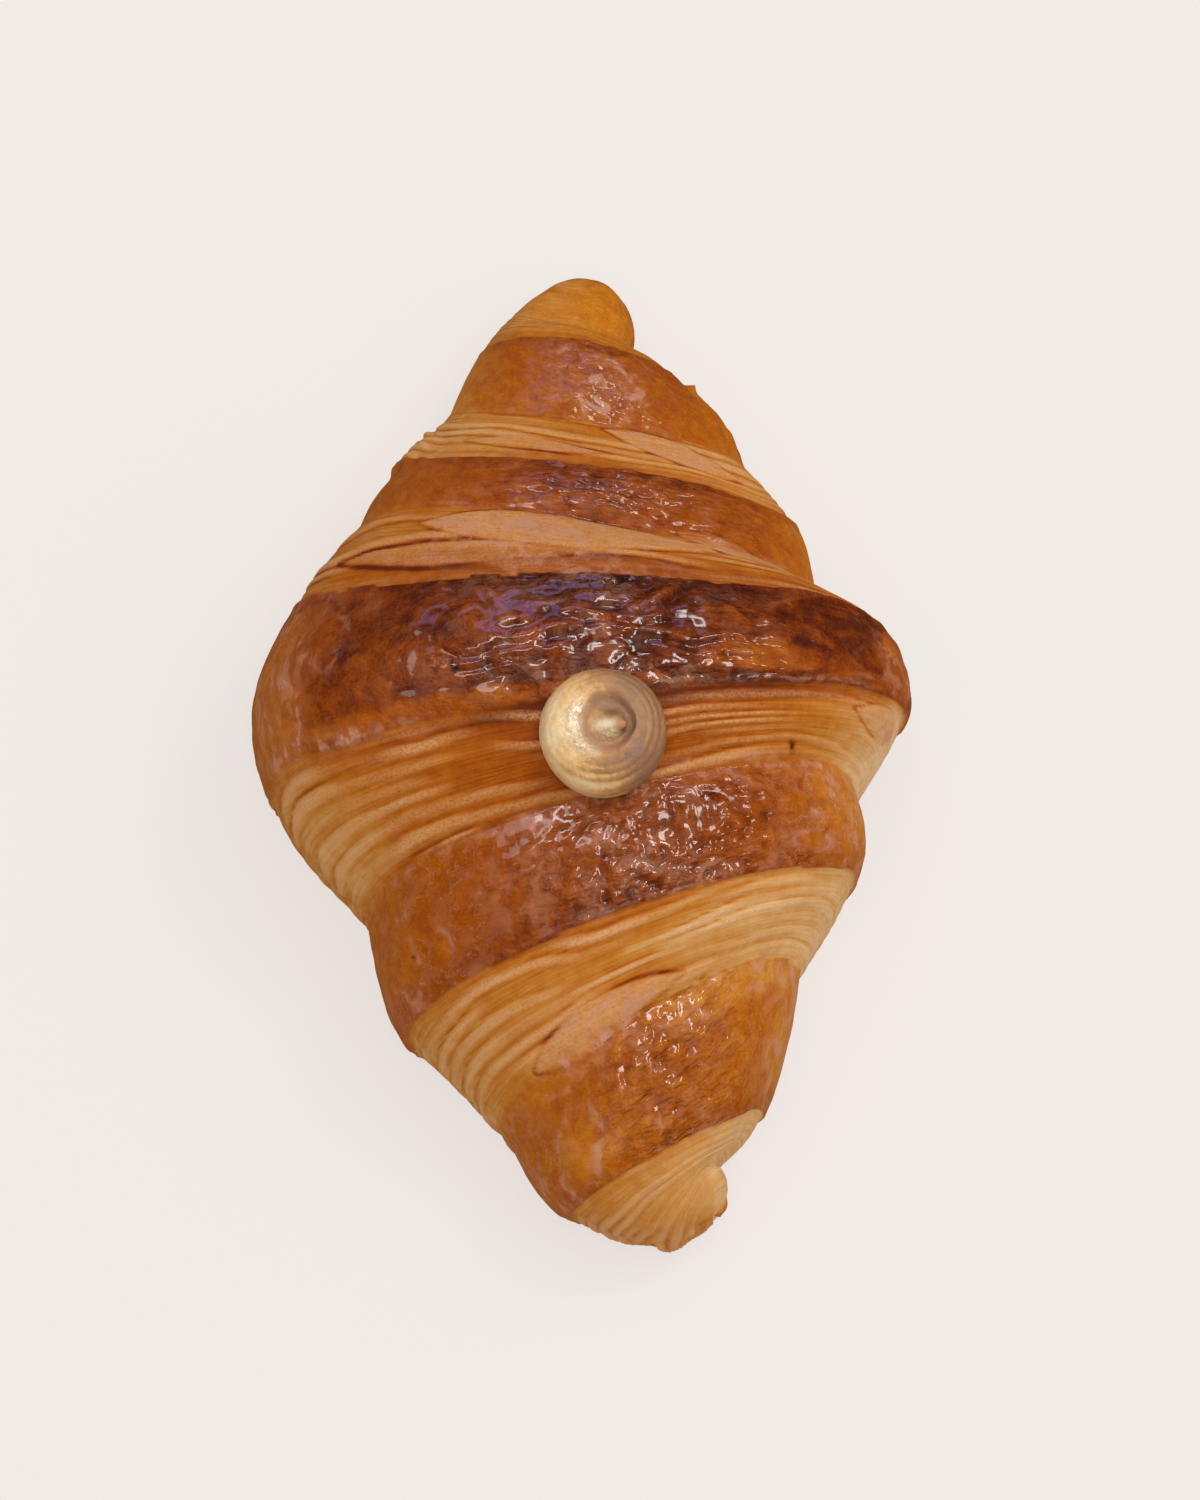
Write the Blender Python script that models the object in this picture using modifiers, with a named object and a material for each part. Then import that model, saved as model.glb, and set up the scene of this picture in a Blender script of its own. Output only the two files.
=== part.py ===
"""A baked croissant with a small piped swirl of nut cream on its crown. Metres, +Z up, resting on z = 0.

The croissant is one rolled strip of layered dough. Seen from above, glazed skin and pale cut edge
alternate along it. Every border between the two is a curve round the body, and the curves are numbered
from the far tip (-1) to the near tip (10). The body is a loft of sections that follow those curves, so a
section's number also says where in the roll it lies: 4 to 5 is the broad middle skin, 5 to 6 the cut edge
below it, and so on.
"""

import bmesh
import bpy
import numpy as np

MM = 0.001

# Borders: number, left end x and y, right end x and y, height, how far the crown leans to +Y, and how
# much further its left side leans than its right. All but the number are in millimetres.
STATIONS = np.array(
    [
        (-1.0, -11.5, 67.0, 7.6, 62.4, 18.0, -0.3, 0.0),
        (0.0, -15.4, 61.0, 15.0, 55.4, 24.0, 0.4, 0.6),
        (1.0, -20.6, 50.9, 25.5, 42.0, 30.5, -1.3, -0.8),
        (2.0, -27.0, 41.0, 31.4, 31.8, 36.5, -1.2, -0.5),
        (3.0, -34.2, 31.0, 36.2, 20.0, 42.0, 1.4, 0.0),
        (4.0, -43.2, 17.0, 45.0, 12.6, 49.5, -0.4, -1.2),
        (4.5, -47.9, 2.6, 47.0, 6.4, 53.0, 0.0, 0.0),
        (5.0, -45.9, -11.4, 47.2, 1.2, 53.0, 0.5, 0.4),
        (6.0, -33.4, -31.0, 42.2, -10.9, 49.0, 3.3, 0.5),
        (7.0, -25.2, -48.1, 40.0, -23.4, 44.0, 1.4, 1.0),
        (8.0, -14.3, -60.2, 33.9, -37.4, 36.0, 1.6, 0.0),
        (9.0, -1.5, -73.0, 26.4, -56.8, 26.5, -1.8, 0.0),
        (10.0, 8.9, -77.0, 20.8, -65.4, 18.5, 0.0, 0.0),
    ]
)
FAR_TIP, NEAR_TIP = STATIONS[0, 0], STATIONS[-1, 0]
FAR_TIP_REACH = (4.6, 7.4)
NEAR_TIP_REACH = (3.3, -3.0)
TIP_SPAN = 0.5

# A section: superellipse exponents, the height of its widest line as a share, and how far its sole is
# pressed in where it rests.
SIDE_ROUNDNESS = 2.15
CROWN_ROUNDNESS = 2.25
SOLE_ROUNDNESS = 3.2
WAIST = 0.42
PRESSED_SHARE = 0.022

# Relief across the layers, in millimetres at the tips and more in the middle.
TIP_RELIEF = 1.1
MIDDLE_RELIEF = 1.9
CREASE = -1.0
TIP_CREASE = -0.15
SHOULDER = 0.95
SKIN_EDGE = 0.70
CUT_EDGE = 0.35
MIDDLE_SKIN = 1.15
LEAVES = 4
LEAF_STEP = 0.24
LUMP = 0.32

# Each zone between two borders: which kind it is, and whether its free edge is its higher or its lower
# border. The middle skin has a free edge on both sides.
SKIN, CUT = "skin", "cut"
ZONES = {
    -1: (CUT, +1),
    0: (SKIN, -1),
    1: (CUT, +1),
    2: (SKIN, -1),
    3: (CUT, +1),
    4: (SKIN, 0),
    5: (CUT, -1),
    6: (SKIN, +1),
    7: (CUT, -1),
    8: (SKIN, +1),
    9: (CUT, -1),
}

# Broad flakes that lie loose on the cut edges: border number and angle of the centre, half spans of
# both, and lift in millimetres.
FLAKES = (
    (3.30, 8.0, 0.26, 17.0, 0.45),
    (7.62, 4.0, 0.20, 26.0, 0.50),
    (1.42, 14.0, 0.30, 22.0, 0.35),
    (5.22, -46.0, 0.16, 15.0, 0.40),
)

AROUND = 56
SKIN_RINGS = (0.04, 0.14, 0.30, 0.50, 0.70, 0.86, 0.97)
TIP_RINGS = 5

# The swirl: a low mound with a rounded shoulder, a shallow moat inside its rim, and a curled peak.
CREAM_CENTRE = (3.0, -10.0)
CREAM_RADIUS = 9.6
CREAM_BASE_DROP = 4.5
CREAM_RIM_RADIUS = 5.1
CREAM_RIM_HEIGHT = 6.0
CREAM_MOAT_RADIUS = 3.3
CREAM_MOAT_DEPTH = 0.7
CREAM_PEAK_HEIGHT = 8.4
CREAM_PEAK_OFFSET = (1.9, -0.95)
CREAM_RIDGES = 5
CREAM_RIDGE_HEIGHT = 0.12
CREAM_AROUND = 36
CREAM_GAP = 0.3


def smooth(value, low, high):
    """A soft step from 0 at low to 1 at high."""
    share = np.clip((value - low) / (high - low), 0.0, 1.0)
    return share * share * (3.0 - 2.0 * share)


def between_stations(number):
    """The stations' sizes at each border number, on a smooth curve through them."""
    key, sizes = STATIONS[:, 0], STATIONS[:, 1:]
    slope = np.gradient(sizes, key, axis=0)
    at = np.clip(np.searchsorted(key, number, side="right") - 1, 0, len(key) - 2)
    span = (key[at + 1] - key[at])[:, None]
    t = (np.clip(number, key[0], key[-1]) - key[at])[:, None] / span
    start = (2 * t**3 - 3 * t**2 + 1) * sizes[at] + (t**3 - 2 * t**2 + t) * span * slope[at]
    end = (3 * t**2 - 2 * t**3) * sizes[at + 1] + (t**3 - t**2) * span * slope[at + 1]
    return start + end


def section(points):
    """A section's angle, sideways share and height share at evenly spaced points, from the crown."""
    angle = np.linspace(0.0, 2.0 * np.pi, 4001)
    sine, cosine = np.sin(angle), np.cos(angle)
    aside = np.sign(sine) * np.abs(sine) ** (2.0 / SIDE_ROUNDNESS)
    crown = WAIST + (1.0 - WAIST) * np.abs(cosine) ** (2.0 / CROWN_ROUNDNESS)
    sole = WAIST - (WAIST + PRESSED_SHARE) * np.abs(cosine) ** (2.0 / SOLE_ROUNDNESS)
    height = np.where(cosine >= 0.0, crown, sole)
    walk = np.concatenate([[0.0], np.cumsum(np.hypot(np.diff(aside) * 0.9, np.diff(height)))])
    even = np.linspace(0.0, walk[-1], points + 1)[:-1]
    return np.interp(even, walk, angle), np.interp(even, walk, aside), np.interp(even, walk, height)


def cut_leaves(share):
    """Shallow steps across a cut edge, where the layers end one behind another."""
    place = share * LEAVES
    return (place - np.floor(place)) - 0.5


def zone_height(number, angle, leaf_share):
    """Relief at each border number, from -1 in a crease to about +1 on a skin's shoulder."""
    zone = np.floor(number).astype(int)
    inside = number - zone
    # The innermost turn at a tip lies in a crease on its right side and runs on smoothly on its left.
    right = smooth(np.sin(angle), -0.2, 0.9)
    tip_crease = TIP_CREASE + (CREASE - TIP_CREASE) * right
    nub = np.clip(np.maximum(FAR_TIP - number, number - NEAR_TIP) / 0.35, 0.0, 1.0)
    height = tip_crease * (1.0 - nub**0.6)
    for key, (kind, free_side) in ZONES.items():
        here = zone == key
        share = inside if free_side > 0 else 1.0 - inside
        crease = tip_crease if key in (-1, 9) else CREASE
        if free_side == 0:
            rise = MIDDLE_SKIN - (MIDDLE_SKIN - SKIN_EDGE) * np.abs(2.0 * inside - 1.0) ** 3
        elif kind == SKIN:
            rise = crease + (SHOULDER - crease) * (1.0 - (1.0 - share) ** 2.4)
            rise -= (SHOULDER - SKIN_EDGE) * share**6
        else:
            slope = crease + (CUT_EDGE - crease) * share**0.85 + 0.18 * np.sin(np.pi * share)
            rise = slope + leaf_share * LEAF_STEP * cut_leaves(share)
        height = np.where(here, rise, height)
    return height


def below(number, share):
    """The border number that shows underneath, where the roll winds one turn further out."""
    wound = np.where(number <= 2.0, number + 2.0, 4.0 + (number - 2.0) / 5.0)
    wound = np.where(number >= 7.0, number - 2.0, wound)
    return (1.0 - share) * number + share * wound


def lumps(number, angle):
    """Slow unevenness of risen dough."""
    waves = (
        (1.7, 2.0, 0.4, 1.0),
        (2.9, -3.0, 1.9, 0.8),
        (4.3, 5.0, 4.1, 0.6),
        (1.1, -7.0, 2.6, 0.5),
    )
    total = sum(size * np.sin(along * number + turns * angle + start) for along, turns, start, size in waves)
    return total / 2.0


def flakes(number, angle):
    """Lens-shaped loose flakes, lifted at their free edge."""
    degrees = np.degrees(np.where(angle > np.pi, angle - 2.0 * np.pi, angle))
    total = np.zeros(number.shape)
    for at, turn, half, spread, lift in FLAKES:
        along = (number - at) / half
        reach = 1.0 - ((degrees - turn) / spread) ** 2
        total += lift * smooth(reach - np.abs(along), -0.1, 0.25)
    return total


def relief(number, angle):
    """How far the surface stands off the smooth form at each point, in millimetres."""
    degrees = np.degrees(angle)
    share = (1.0 - np.cos(np.pi * np.clip((270.0 - degrees) / 180.0, 0.0, 1.0))) / 2.0
    share = np.where(degrees < 90.0, 0.0, share)
    hidden = np.where((degrees > 90.0) & (degrees < 270.0), smooth(degrees, 95.0, 132.0), 0.0)
    above = zone_height(number, angle, 1.0)
    underneath = zone_height(below(number, share), angle, 0.0)
    height = (1.0 - hidden) * above + hidden * underneath
    depth = TIP_RELIEF + (MIDDLE_RELIEF - TIP_RELIEF) * np.exp(-(((number - 4.6) / 3.2) ** 2))
    far_half = 1.0 - smooth(number, 3.0, 5.0)
    right, left = np.clip(np.sin(angle), 0.0, 1.0), np.clip(-np.sin(angle), 0.0, 1.0)
    calm = 1.0 - 0.35 * far_half * right - 0.15 * (1.0 - far_half) * left
    return height * depth * calm + LUMP * lumps(number, angle) + (1.0 - hidden) * flakes(number, angle)


def body_points(numbers, around, clearance=0.0):
    """The loft's points, one row for each border number, in millimetres."""
    angle, aside, level = section(around)
    sizes = between_stations(np.clip(numbers, FAR_TIP, NEAR_TIP))
    left, right, height = sizes[:, 0:2], sizes[:, 2:4], sizes[:, 4:5]
    lean, skew = sizes[:, 5:6], sizes[:, 6:7]
    far = np.clip(FAR_TIP - numbers, 0.0, None)[:, None] / TIP_SPAN
    near = np.clip(numbers - NEAR_TIP, 0.0, None)[:, None] / TIP_SPAN
    shrink = np.sqrt(np.clip(1.0 - (far + near) ** 2, 0.0, 1.0))
    centre = (left + right) / 2.0 + far * FAR_TIP_REACH + near * NEAR_TIP_REACH
    half = (right - left) / 2.0
    rise = np.clip((level - WAIST) / (1.0 - WAIST), 0.0, 1.0)
    points = np.empty((len(numbers), around, 3))
    points[..., 0] = centre[:, 0:1] + half[:, 0:1] * aside * shrink
    points[..., 1] = centre[:, 1:2] + half[:, 1:2] * aside * shrink + (lean - skew * aside) * rise * shrink
    points[..., 2] = WAIST * height + (level - WAIST) * height * shrink
    along = np.gradient(points, axis=0)
    across = np.roll(points, -1, axis=1) - np.roll(points, 1, axis=1)
    normal = np.cross(along, across)
    normal /= np.linalg.norm(normal, axis=2, keepdims=True) + 1e-9
    grid = np.broadcast_to(numbers[:, None], (len(numbers), around))
    stand_off = relief(grid, np.broadcast_to(angle, grid.shape)) * smooth(shrink, 0.0, 0.7)
    points += normal * (stand_off + clearance)[..., None]
    points[..., 2] = np.maximum(points[..., 2], -clearance)
    return points


def ring_numbers():
    """Border numbers of all rings: close together where the relief turns sharply."""
    tip = TIP_SPAN * np.sin(np.linspace(0.0, np.pi / 2.0, TIP_RINGS + 2))[1:]
    numbers = list(FAR_TIP - tip[::-1])
    for key, (kind, free_side) in ZONES.items():
        if kind == SKIN:
            shares = np.array(SKIN_RINGS)
        else:
            edges = np.arange(LEAVES) / LEAVES
            shares = np.sort(np.concatenate([edges + 0.02, edges + 0.98 / LEAVES - 0.01]))
        numbers += list(key + (shares if free_side >= 0 else np.sort(1.0 - shares)))
    return np.array(numbers + list(NEAR_TIP + tip))


def mesh_object(name, points, edges, faces, collection):
    """A smooth-shaded mesh object from points in millimetres, with its faces turned outward."""
    mesh = bpy.data.meshes.new(name)
    mesh.from_pydata([tuple(float(at) * MM for at in point) for point in points], edges, faces)
    work = bmesh.new()
    work.from_mesh(mesh)
    bmesh.ops.recalc_face_normals(work, faces=work.faces)
    work.to_mesh(mesh)
    work.free()
    mesh.shade_smooth()
    made = bpy.data.objects.new(name, mesh)
    collection.objects.link(made)
    return made


def croissant(name, collection, clearance=0.0):
    """The whole rolled body as a loft closed at both tips, or with a clearance the same form grown by it."""
    rings = body_points(ring_numbers(), AROUND, clearance)
    points = [rings[0, 0], *rings[1:-1].reshape(-1, 3), rings[-1, 0]]
    last_ring, last = 1 + (len(rings) - 3) * AROUND, len(points) - 1
    faces = []
    for j in range(AROUND):
        k = (j + 1) % AROUND
        faces.append((0, 1 + j, 1 + k))
        for this in range(1, last_ring, AROUND):
            faces.append((this + j, this + AROUND + j, this + AROUND + k, this + k))
        faces.append((last_ring + j, last, last_ring + k))
    return mesh_object(name, points, [], faces, collection)


def crown_height(x, y):
    """Height of the body's surface over a point near the crown's middle, in millimetres."""
    grid = body_points(ring_numbers(), AROUND)
    top = grid[grid[..., 2] > 25.0]
    near = np.argsort(np.hypot(top[:, 0] - x, top[:, 1] - y))[:6]
    return float(top[near, 2].mean())


def cream_profile():
    """The swirl's outline from the point of its peak down to its buried foot: radius and height."""
    floor = CREAM_RIM_HEIGHT - CREAM_MOAT_DEPTH
    outline = [(0.0, CREAM_PEAK_HEIGHT)]
    for share in (0.88, 0.75, 0.6, 0.42, 0.22):
        rise = (CREAM_PEAK_HEIGHT - floor) * share**1.6
        outline.append((CREAM_MOAT_RADIUS * (1.0 - share) + 0.12, floor + rise))
    for share in (1.0, 0.65, 0.3):
        radius = CREAM_RIM_RADIUS + (CREAM_MOAT_RADIUS - CREAM_RIM_RADIUS) * share
        outline.append((radius, CREAM_RIM_HEIGHT - CREAM_MOAT_DEPTH * float(smooth(share, 0.0, 1.0))))
    for turn in np.linspace(1.0, 0.12, 11) * np.pi / 2.0:
        height = CREAM_RIM_HEIGHT * np.sin(turn) ** 0.85
        ridge = CREAM_RIDGE_HEIGHT * np.cos(CREAM_RIDGES * np.pi * height / CREAM_RIM_HEIGHT)
        bulge = (CREAM_RADIUS - CREAM_RIM_RADIUS) * np.cos(turn) ** 0.95
        outline.append((CREAM_RIM_RADIUS + bulge + ridge * np.cos(turn), height))
    foot = [(CREAM_RADIUS, 0.3), (CREAM_RADIUS * 0.93, -CREAM_BASE_DROP), (0.0, -CREAM_BASE_DROP)]
    return outline + foot


def cream_dollop(name, collection, crust):
    """The piped swirl: a turned outline with its peak bent over and its foot fitted to the crust."""
    outline = [(radius, 0.0, height) for radius, height in cream_profile()]
    edges = [(i, i + 1) for i in range(len(outline) - 1)]
    swirl = mesh_object(name, outline, edges, [], collection)
    turned = swirl.modifiers.new("turned", "SCREW")
    turned.steps = CREAM_AROUND
    turned.render_steps = CREAM_AROUND
    turned.use_merge_vertices = True
    turned.merge_threshold = 0.00001
    bpy.context.view_layer.update()
    swirl.data = bpy.data.meshes.new_from_object(swirl.evaluated_get(bpy.context.evaluated_depsgraph_get()))
    swirl.modifiers.clear()
    for vertex in swirl.data.vertices:
        x, y = vertex.co.x / MM, vertex.co.y / MM
        radius, turn = np.hypot(x, y), np.arctan2(y, x)
        uneven = 1.0 + 0.012 * np.cos(2.0 * turn + 0.6) + 0.010 * np.sin(3.0 * turn)
        inner = (vertex.co.z > 0.0) * smooth(1.0 - radius / CREAM_MOAT_RADIUS, 0.0, 1.0)
        vertex.co.x = (x * uneven + inner * CREAM_PEAK_OFFSET[0]) * MM
        vertex.co.y = (y * uneven + inner * CREAM_PEAK_OFFSET[1]) * MM
    swirl.data.shade_smooth()
    swirl.location = (CREAM_CENTRE[0] * MM, CREAM_CENTRE[1] * MM, crown_height(*CREAM_CENTRE) * MM)
    fitted = swirl.modifiers.new("fit to the crust", "BOOLEAN")
    fitted.operation = "DIFFERENCE"
    fitted.solver = "EXACT"
    fitted.object = crust
    return swirl


def dress(piece, name, colour, roughness):
    """Gives a piece a Principled material of one colour."""
    made = bpy.data.materials.new(name)
    made.use_nodes = True
    shader = made.node_tree.nodes["Principled BSDF"]
    shader.inputs["Base Color"].default_value = (*colour, 1.0)
    shader.inputs["Roughness"].default_value = roughness
    piece.data.materials.clear()
    piece.data.materials.append(made)


def main():
    """Clears the scene and builds both pieces."""
    for old in list(bpy.data.objects):
        bpy.data.objects.remove(old, do_unlink=True)
    pieces = bpy.data.collections.new("croissant")
    cutters = bpy.data.collections.new("cutters")
    bpy.context.scene.collection.children.link(pieces)
    bpy.context.scene.collection.children.link(cutters)

    grown = croissant("crust_and_gap", cutters, CREAM_GAP)
    grown.hide_render = True
    grown.display_type = "WIRE"

    dress(croissant("croissant", pieces), "crust", (0.44, 0.16, 0.03), 0.4)
    dress(cream_dollop("cream_dollop", pieces, grown), "nut_cream", (0.62, 0.37, 0.17), 0.35)


main()
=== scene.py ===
"""Looks of a baked croissant with a small piped swirl of nut cream on its crown.

The form is worked out in millimetres and placed in the scene in metres. The roll's borders between glazed
skin and cut edge are numbered from the far tip (-1) to the near tip (10), as in the part's own source.
"""

import logging
from dataclasses import dataclass, field
from enum import Enum, IntEnum

import bpy
import numpy as np
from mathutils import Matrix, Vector
from mathutils.bvhtree import BVHTree


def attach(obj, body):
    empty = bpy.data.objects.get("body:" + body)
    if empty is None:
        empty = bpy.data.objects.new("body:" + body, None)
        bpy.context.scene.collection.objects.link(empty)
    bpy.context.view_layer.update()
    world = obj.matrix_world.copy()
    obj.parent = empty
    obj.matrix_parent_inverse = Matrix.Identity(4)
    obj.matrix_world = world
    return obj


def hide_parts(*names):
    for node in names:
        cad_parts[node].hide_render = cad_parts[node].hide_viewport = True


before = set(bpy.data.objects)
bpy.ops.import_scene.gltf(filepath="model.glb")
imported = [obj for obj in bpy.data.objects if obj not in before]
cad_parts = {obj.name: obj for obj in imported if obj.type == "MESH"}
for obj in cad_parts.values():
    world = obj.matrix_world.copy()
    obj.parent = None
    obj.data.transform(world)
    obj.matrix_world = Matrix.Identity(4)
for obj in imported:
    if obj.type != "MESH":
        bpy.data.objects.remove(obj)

MM = 0.001
LOG = logging.getLogger("croissant")


def ease(value: np.ndarray, low: float, high: float) -> np.ndarray:
    """A soft step from 0 at low to 1 at high."""
    share = np.clip((value - low) / (high - low), 0.0, 1.0)
    return share * share * (3.0 - 2.0 * share)


def bell(value: np.ndarray, middle: float, width: float) -> np.ndarray:
    """A bell curve that is 1 at its middle and dies out over a few widths."""
    return np.exp(-(((value - middle) / width) ** 2))


def stack(*axes: np.ndarray) -> np.ndarray:
    """Three coordinate fields as one field of points."""
    return np.stack(np.broadcast_arrays(*axes), axis=-1)


def laid_out(
    across: np.ndarray, along: np.ndarray, size: tuple[float, float], level: float = 0.0
) -> np.ndarray:
    """Places on the surface as if it were laid out flat, in lumps' sizes.

    Args:
        across: distance across the roll.
        along: distance along the roll.
        size: a lump's size across and along.
        level: which level of the unevenness is read.

    Returns:
        The places.
    """
    return stack(across / size[0], along / size[1], level)


def crown_degrees(angle: np.ndarray) -> np.ndarray:
    """Degrees from the crown, negative to the left, from an angle in radians that runs once around."""
    return np.degrees(np.where(angle > np.pi, angle - 2.0 * np.pi, angle))


def tone(red: float, green: float, blue: float) -> tuple[float, float, float, float]:
    """A display colour as the linear colour that shaders take.

    Args:
        red: red from 0 to 255.
        green: green from 0 to 255.
        blue: blue from 0 to 255.

    Returns:
        The linear colour, opaque.
    """
    shares = np.array([red, green, blue]) / 255.0
    linear = np.where(shares <= 0.04045, shares / 12.92, ((shares + 0.055) / 1.055) ** 2.4)
    return (float(linear[0]), float(linear[1]), float(linear[2]), 1.0)


class Seed(IntEnum):
    """Seeds of the unevenness. The leaves add the number of their turn, from -1 to 9, to theirs."""

    BORDER = 3
    BORDER_FINE = 4
    WARP = 11
    FOLDS = 21
    LUMPS = 23
    PUFFS = 29
    DOMES = 31
    PIMPLES = 37
    THREADS = 41
    LEAF_LINE = 43
    LEAF_LINE_FINE = 44
    PLATE_LINE = 45
    PLATES = 46
    PATCHES = 47
    LEAVES = 51
    FLAKE_GRAIN = 61
    FLAKE_SHADOW = 63
    CREAM = 71
    BLISTERS = 81
    PANELS = 83


@dataclass(frozen=True)
class Grain:
    """Seeded unevenness over points, one unit of distance from lump to lump."""

    seed: int

    def chance(self, cell: np.ndarray) -> np.ndarray:
        """A fixed number for each whole-numbered cell.

        Args:
            cell: the cells' coordinates.

        Returns:
            A number from 0 to 1 for each, from the bits of the coordinates and the seed.
        """
        keys = cell.astype(np.int64).astype(np.uint64)
        mixed = keys[..., 0] * np.uint64(374761393) + keys[..., 1] * np.uint64(668265263)
        mixed += keys[..., 2] * np.uint64(1274126177) + np.uint64(self.seed * 974634777 + 12345)
        mixed = (mixed ^ (mixed >> np.uint64(13))) * np.uint64(1103515245)
        mixed = (mixed ^ (mixed >> np.uint64(29))) * np.uint64(2654435761)
        return ((mixed >> np.uint64(20)) & np.uint64(0xFFFF)).astype(float) / 65535.0

    def soft(self, points: np.ndarray) -> np.ndarray:
        """Smooth lumps.

        Args:
            points: where they are wanted.

        Returns:
            A value from about -1 to 1 for each point.
        """
        base = np.floor(points)
        share = points - base
        share = share * share * share * (share * (share * 6.0 - 15.0) + 10.0)
        total = np.zeros(points.shape[:-1])
        for corner in range(8):
            step = np.array([corner & 1, (corner >> 1) & 1, (corner >> 2) & 1])
            weight = np.prod(np.where(step == 1, share, 1.0 - share), axis=-1)
            total += weight * self.chance(base + step)
        return 2.0 * total - 1.0

    def layered(self, points: np.ndarray, layers: int = 3, keep: float = 0.5) -> np.ndarray:
        """Lumps with finer lumps on them.

        Args:
            points: where they are wanted.
            layers: how many sizes of lump there are.
            keep: height of each size as a share of the one before.

        Returns:
            A value from about -1 to 1 for each point.
        """
        total, size, room = np.zeros(points.shape[:-1]), 1.0, 0.0
        for layer in range(layers):
            total += size * Grain(self.seed + 17 * layer).soft(points * 2.03**layer + 5.3 * layer)
            room += size
            size *= keep
        return total / room * 1.35

    def folds(self, points: np.ndarray, layers: int) -> np.ndarray:
        """Narrow raised folds, as on a crinkled film.

        Args:
            points: where they are wanted.
            layers: how many sizes of fold there are.

        Returns:
            A value from 0 to 1 for each point.
        """
        total, size, room = np.zeros(points.shape[:-1]), 1.0, 0.0
        for layer in range(layers):
            lump = Grain(self.seed + 31 * layer).soft(points * 1.9**layer + 3.1 * layer)
            total += size * (1.0 - np.clip(np.abs(lump) * 2.2, 0.0, 1.0)) ** 1.5
            room += size
            size *= 0.55
        return total / room

    def cells(self, points: np.ndarray) -> tuple[np.ndarray, np.ndarray]:
        """Scattered spots, one to a cell.

        Args:
            points: where they are wanted.

        Returns:
            The distance to the nearest spot, and that spot's chance from 0 to 1.
        """
        base = np.floor(points)
        nearest = np.full(points.shape[:-1], 9.0)
        chosen = np.zeros(points.shape[:-1])
        for step in np.ndindex(3, 3, 3):
            cell = base + (np.array(step) - 1)
            inside = [Grain(self.seed + 101 * axis).chance(cell) for axis in range(3)]
            away = np.linalg.norm(points - (cell + np.stack(inside, axis=-1)), axis=-1)
            chosen = np.where(away < nearest, Grain(self.seed + 7).chance(cell), chosen)
            nearest = np.minimum(nearest, away)
        return nearest, chosen


class Kind(Enum):
    """What the strip of dough shows between two borders."""

    SKIN = "glazed skin"
    CUT = "cut edge"


@dataclass(frozen=True)
class Border:
    """One border curve across the roll, from its left end over the crown to its right end."""

    number: float
    left: tuple[float, float]
    right: tuple[float, float]
    height: float
    lean: float
    skew: float


@dataclass(frozen=True)
class Turn:
    """One strip of the roll between two borders.

    Tuples give values at the far left, left, crown, right and far right. The free side is where the edge of
    the strip stands free: 1 towards the near tip, -1 towards the far tip, 0 on both sides. The bloom is a
    pale film with a painted sheen on the crowns, windows are where a pale film shows, the leaf line is how
    much painted shade the lines between leaves get, and skin_like is how far a cut edge has browned into
    skin.
    """

    kind: Kind
    free_side: int
    browning: tuple[float, ...]
    bloom_and_sheen: tuple[float, ...]
    wrinkle: tuple[float, ...] = (0.0, 0.0, 0.0, 0.0, 0.0)
    fold_length: float = 3.0
    windows: tuple[float, ...] = (0.0, 0.0, 0.0, 0.0, 0.0)
    leaves: int = 9
    leaf_lift: float = 0.20
    leaf_show: tuple[float, ...] = (1.0, 1.0, 1.0, 1.0, 1.0)
    leaf_gap_shade: float = 0.5
    skin_like: float = 0.0


@dataclass(frozen=True)
class Flake:
    """A lens-shaped loose flake: place, half width and half length on the roll, slant, lift and paleness."""

    number: float
    turn: float
    half: float
    spread: float
    slant: float
    lift: float
    pale: float


@dataclass(frozen=True)
class Patch:
    """A soft patch where the bake differs: place, half sizes, and what it adds."""

    number: float
    turn: float
    half: float
    spread: float
    browning: float = 0.0
    bloom_and_sheen: float = 0.0


@dataclass(frozen=True)
class Mark:
    """A small sharp mark: place, half sizes in millimetres, height and darkness."""

    number: float
    turn: float
    across: float
    along: float
    height: float
    dark: float


@dataclass(frozen=True)
class Blister:
    """A puffed spot with a pale rim: place, half sizes and lift in millimetres, and the rim's paleness."""

    number: float
    turn: float
    across: float
    along: float
    lift: float
    pale: float


@dataclass
class Surface:
    """What the baked surface is like at each point.

    The height is in millimetres, the edge is how far inside the skin a point is, and the rest are shares.
    """

    height: np.ndarray
    edge: np.ndarray
    browning: np.ndarray
    bloom_and_sheen: np.ndarray
    groove: np.ndarray
    shine: np.ndarray
    film: np.ndarray

    def mixed(self, other: "Surface", share: np.ndarray) -> "Surface":
        """This surface going over into another one by a share from 0 to 1."""
        pairs = zip(vars(self).values(), vars(other).values())
        return Surface(*[(1.0 - share) * own + share * theirs for own, theirs in pairs])


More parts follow.
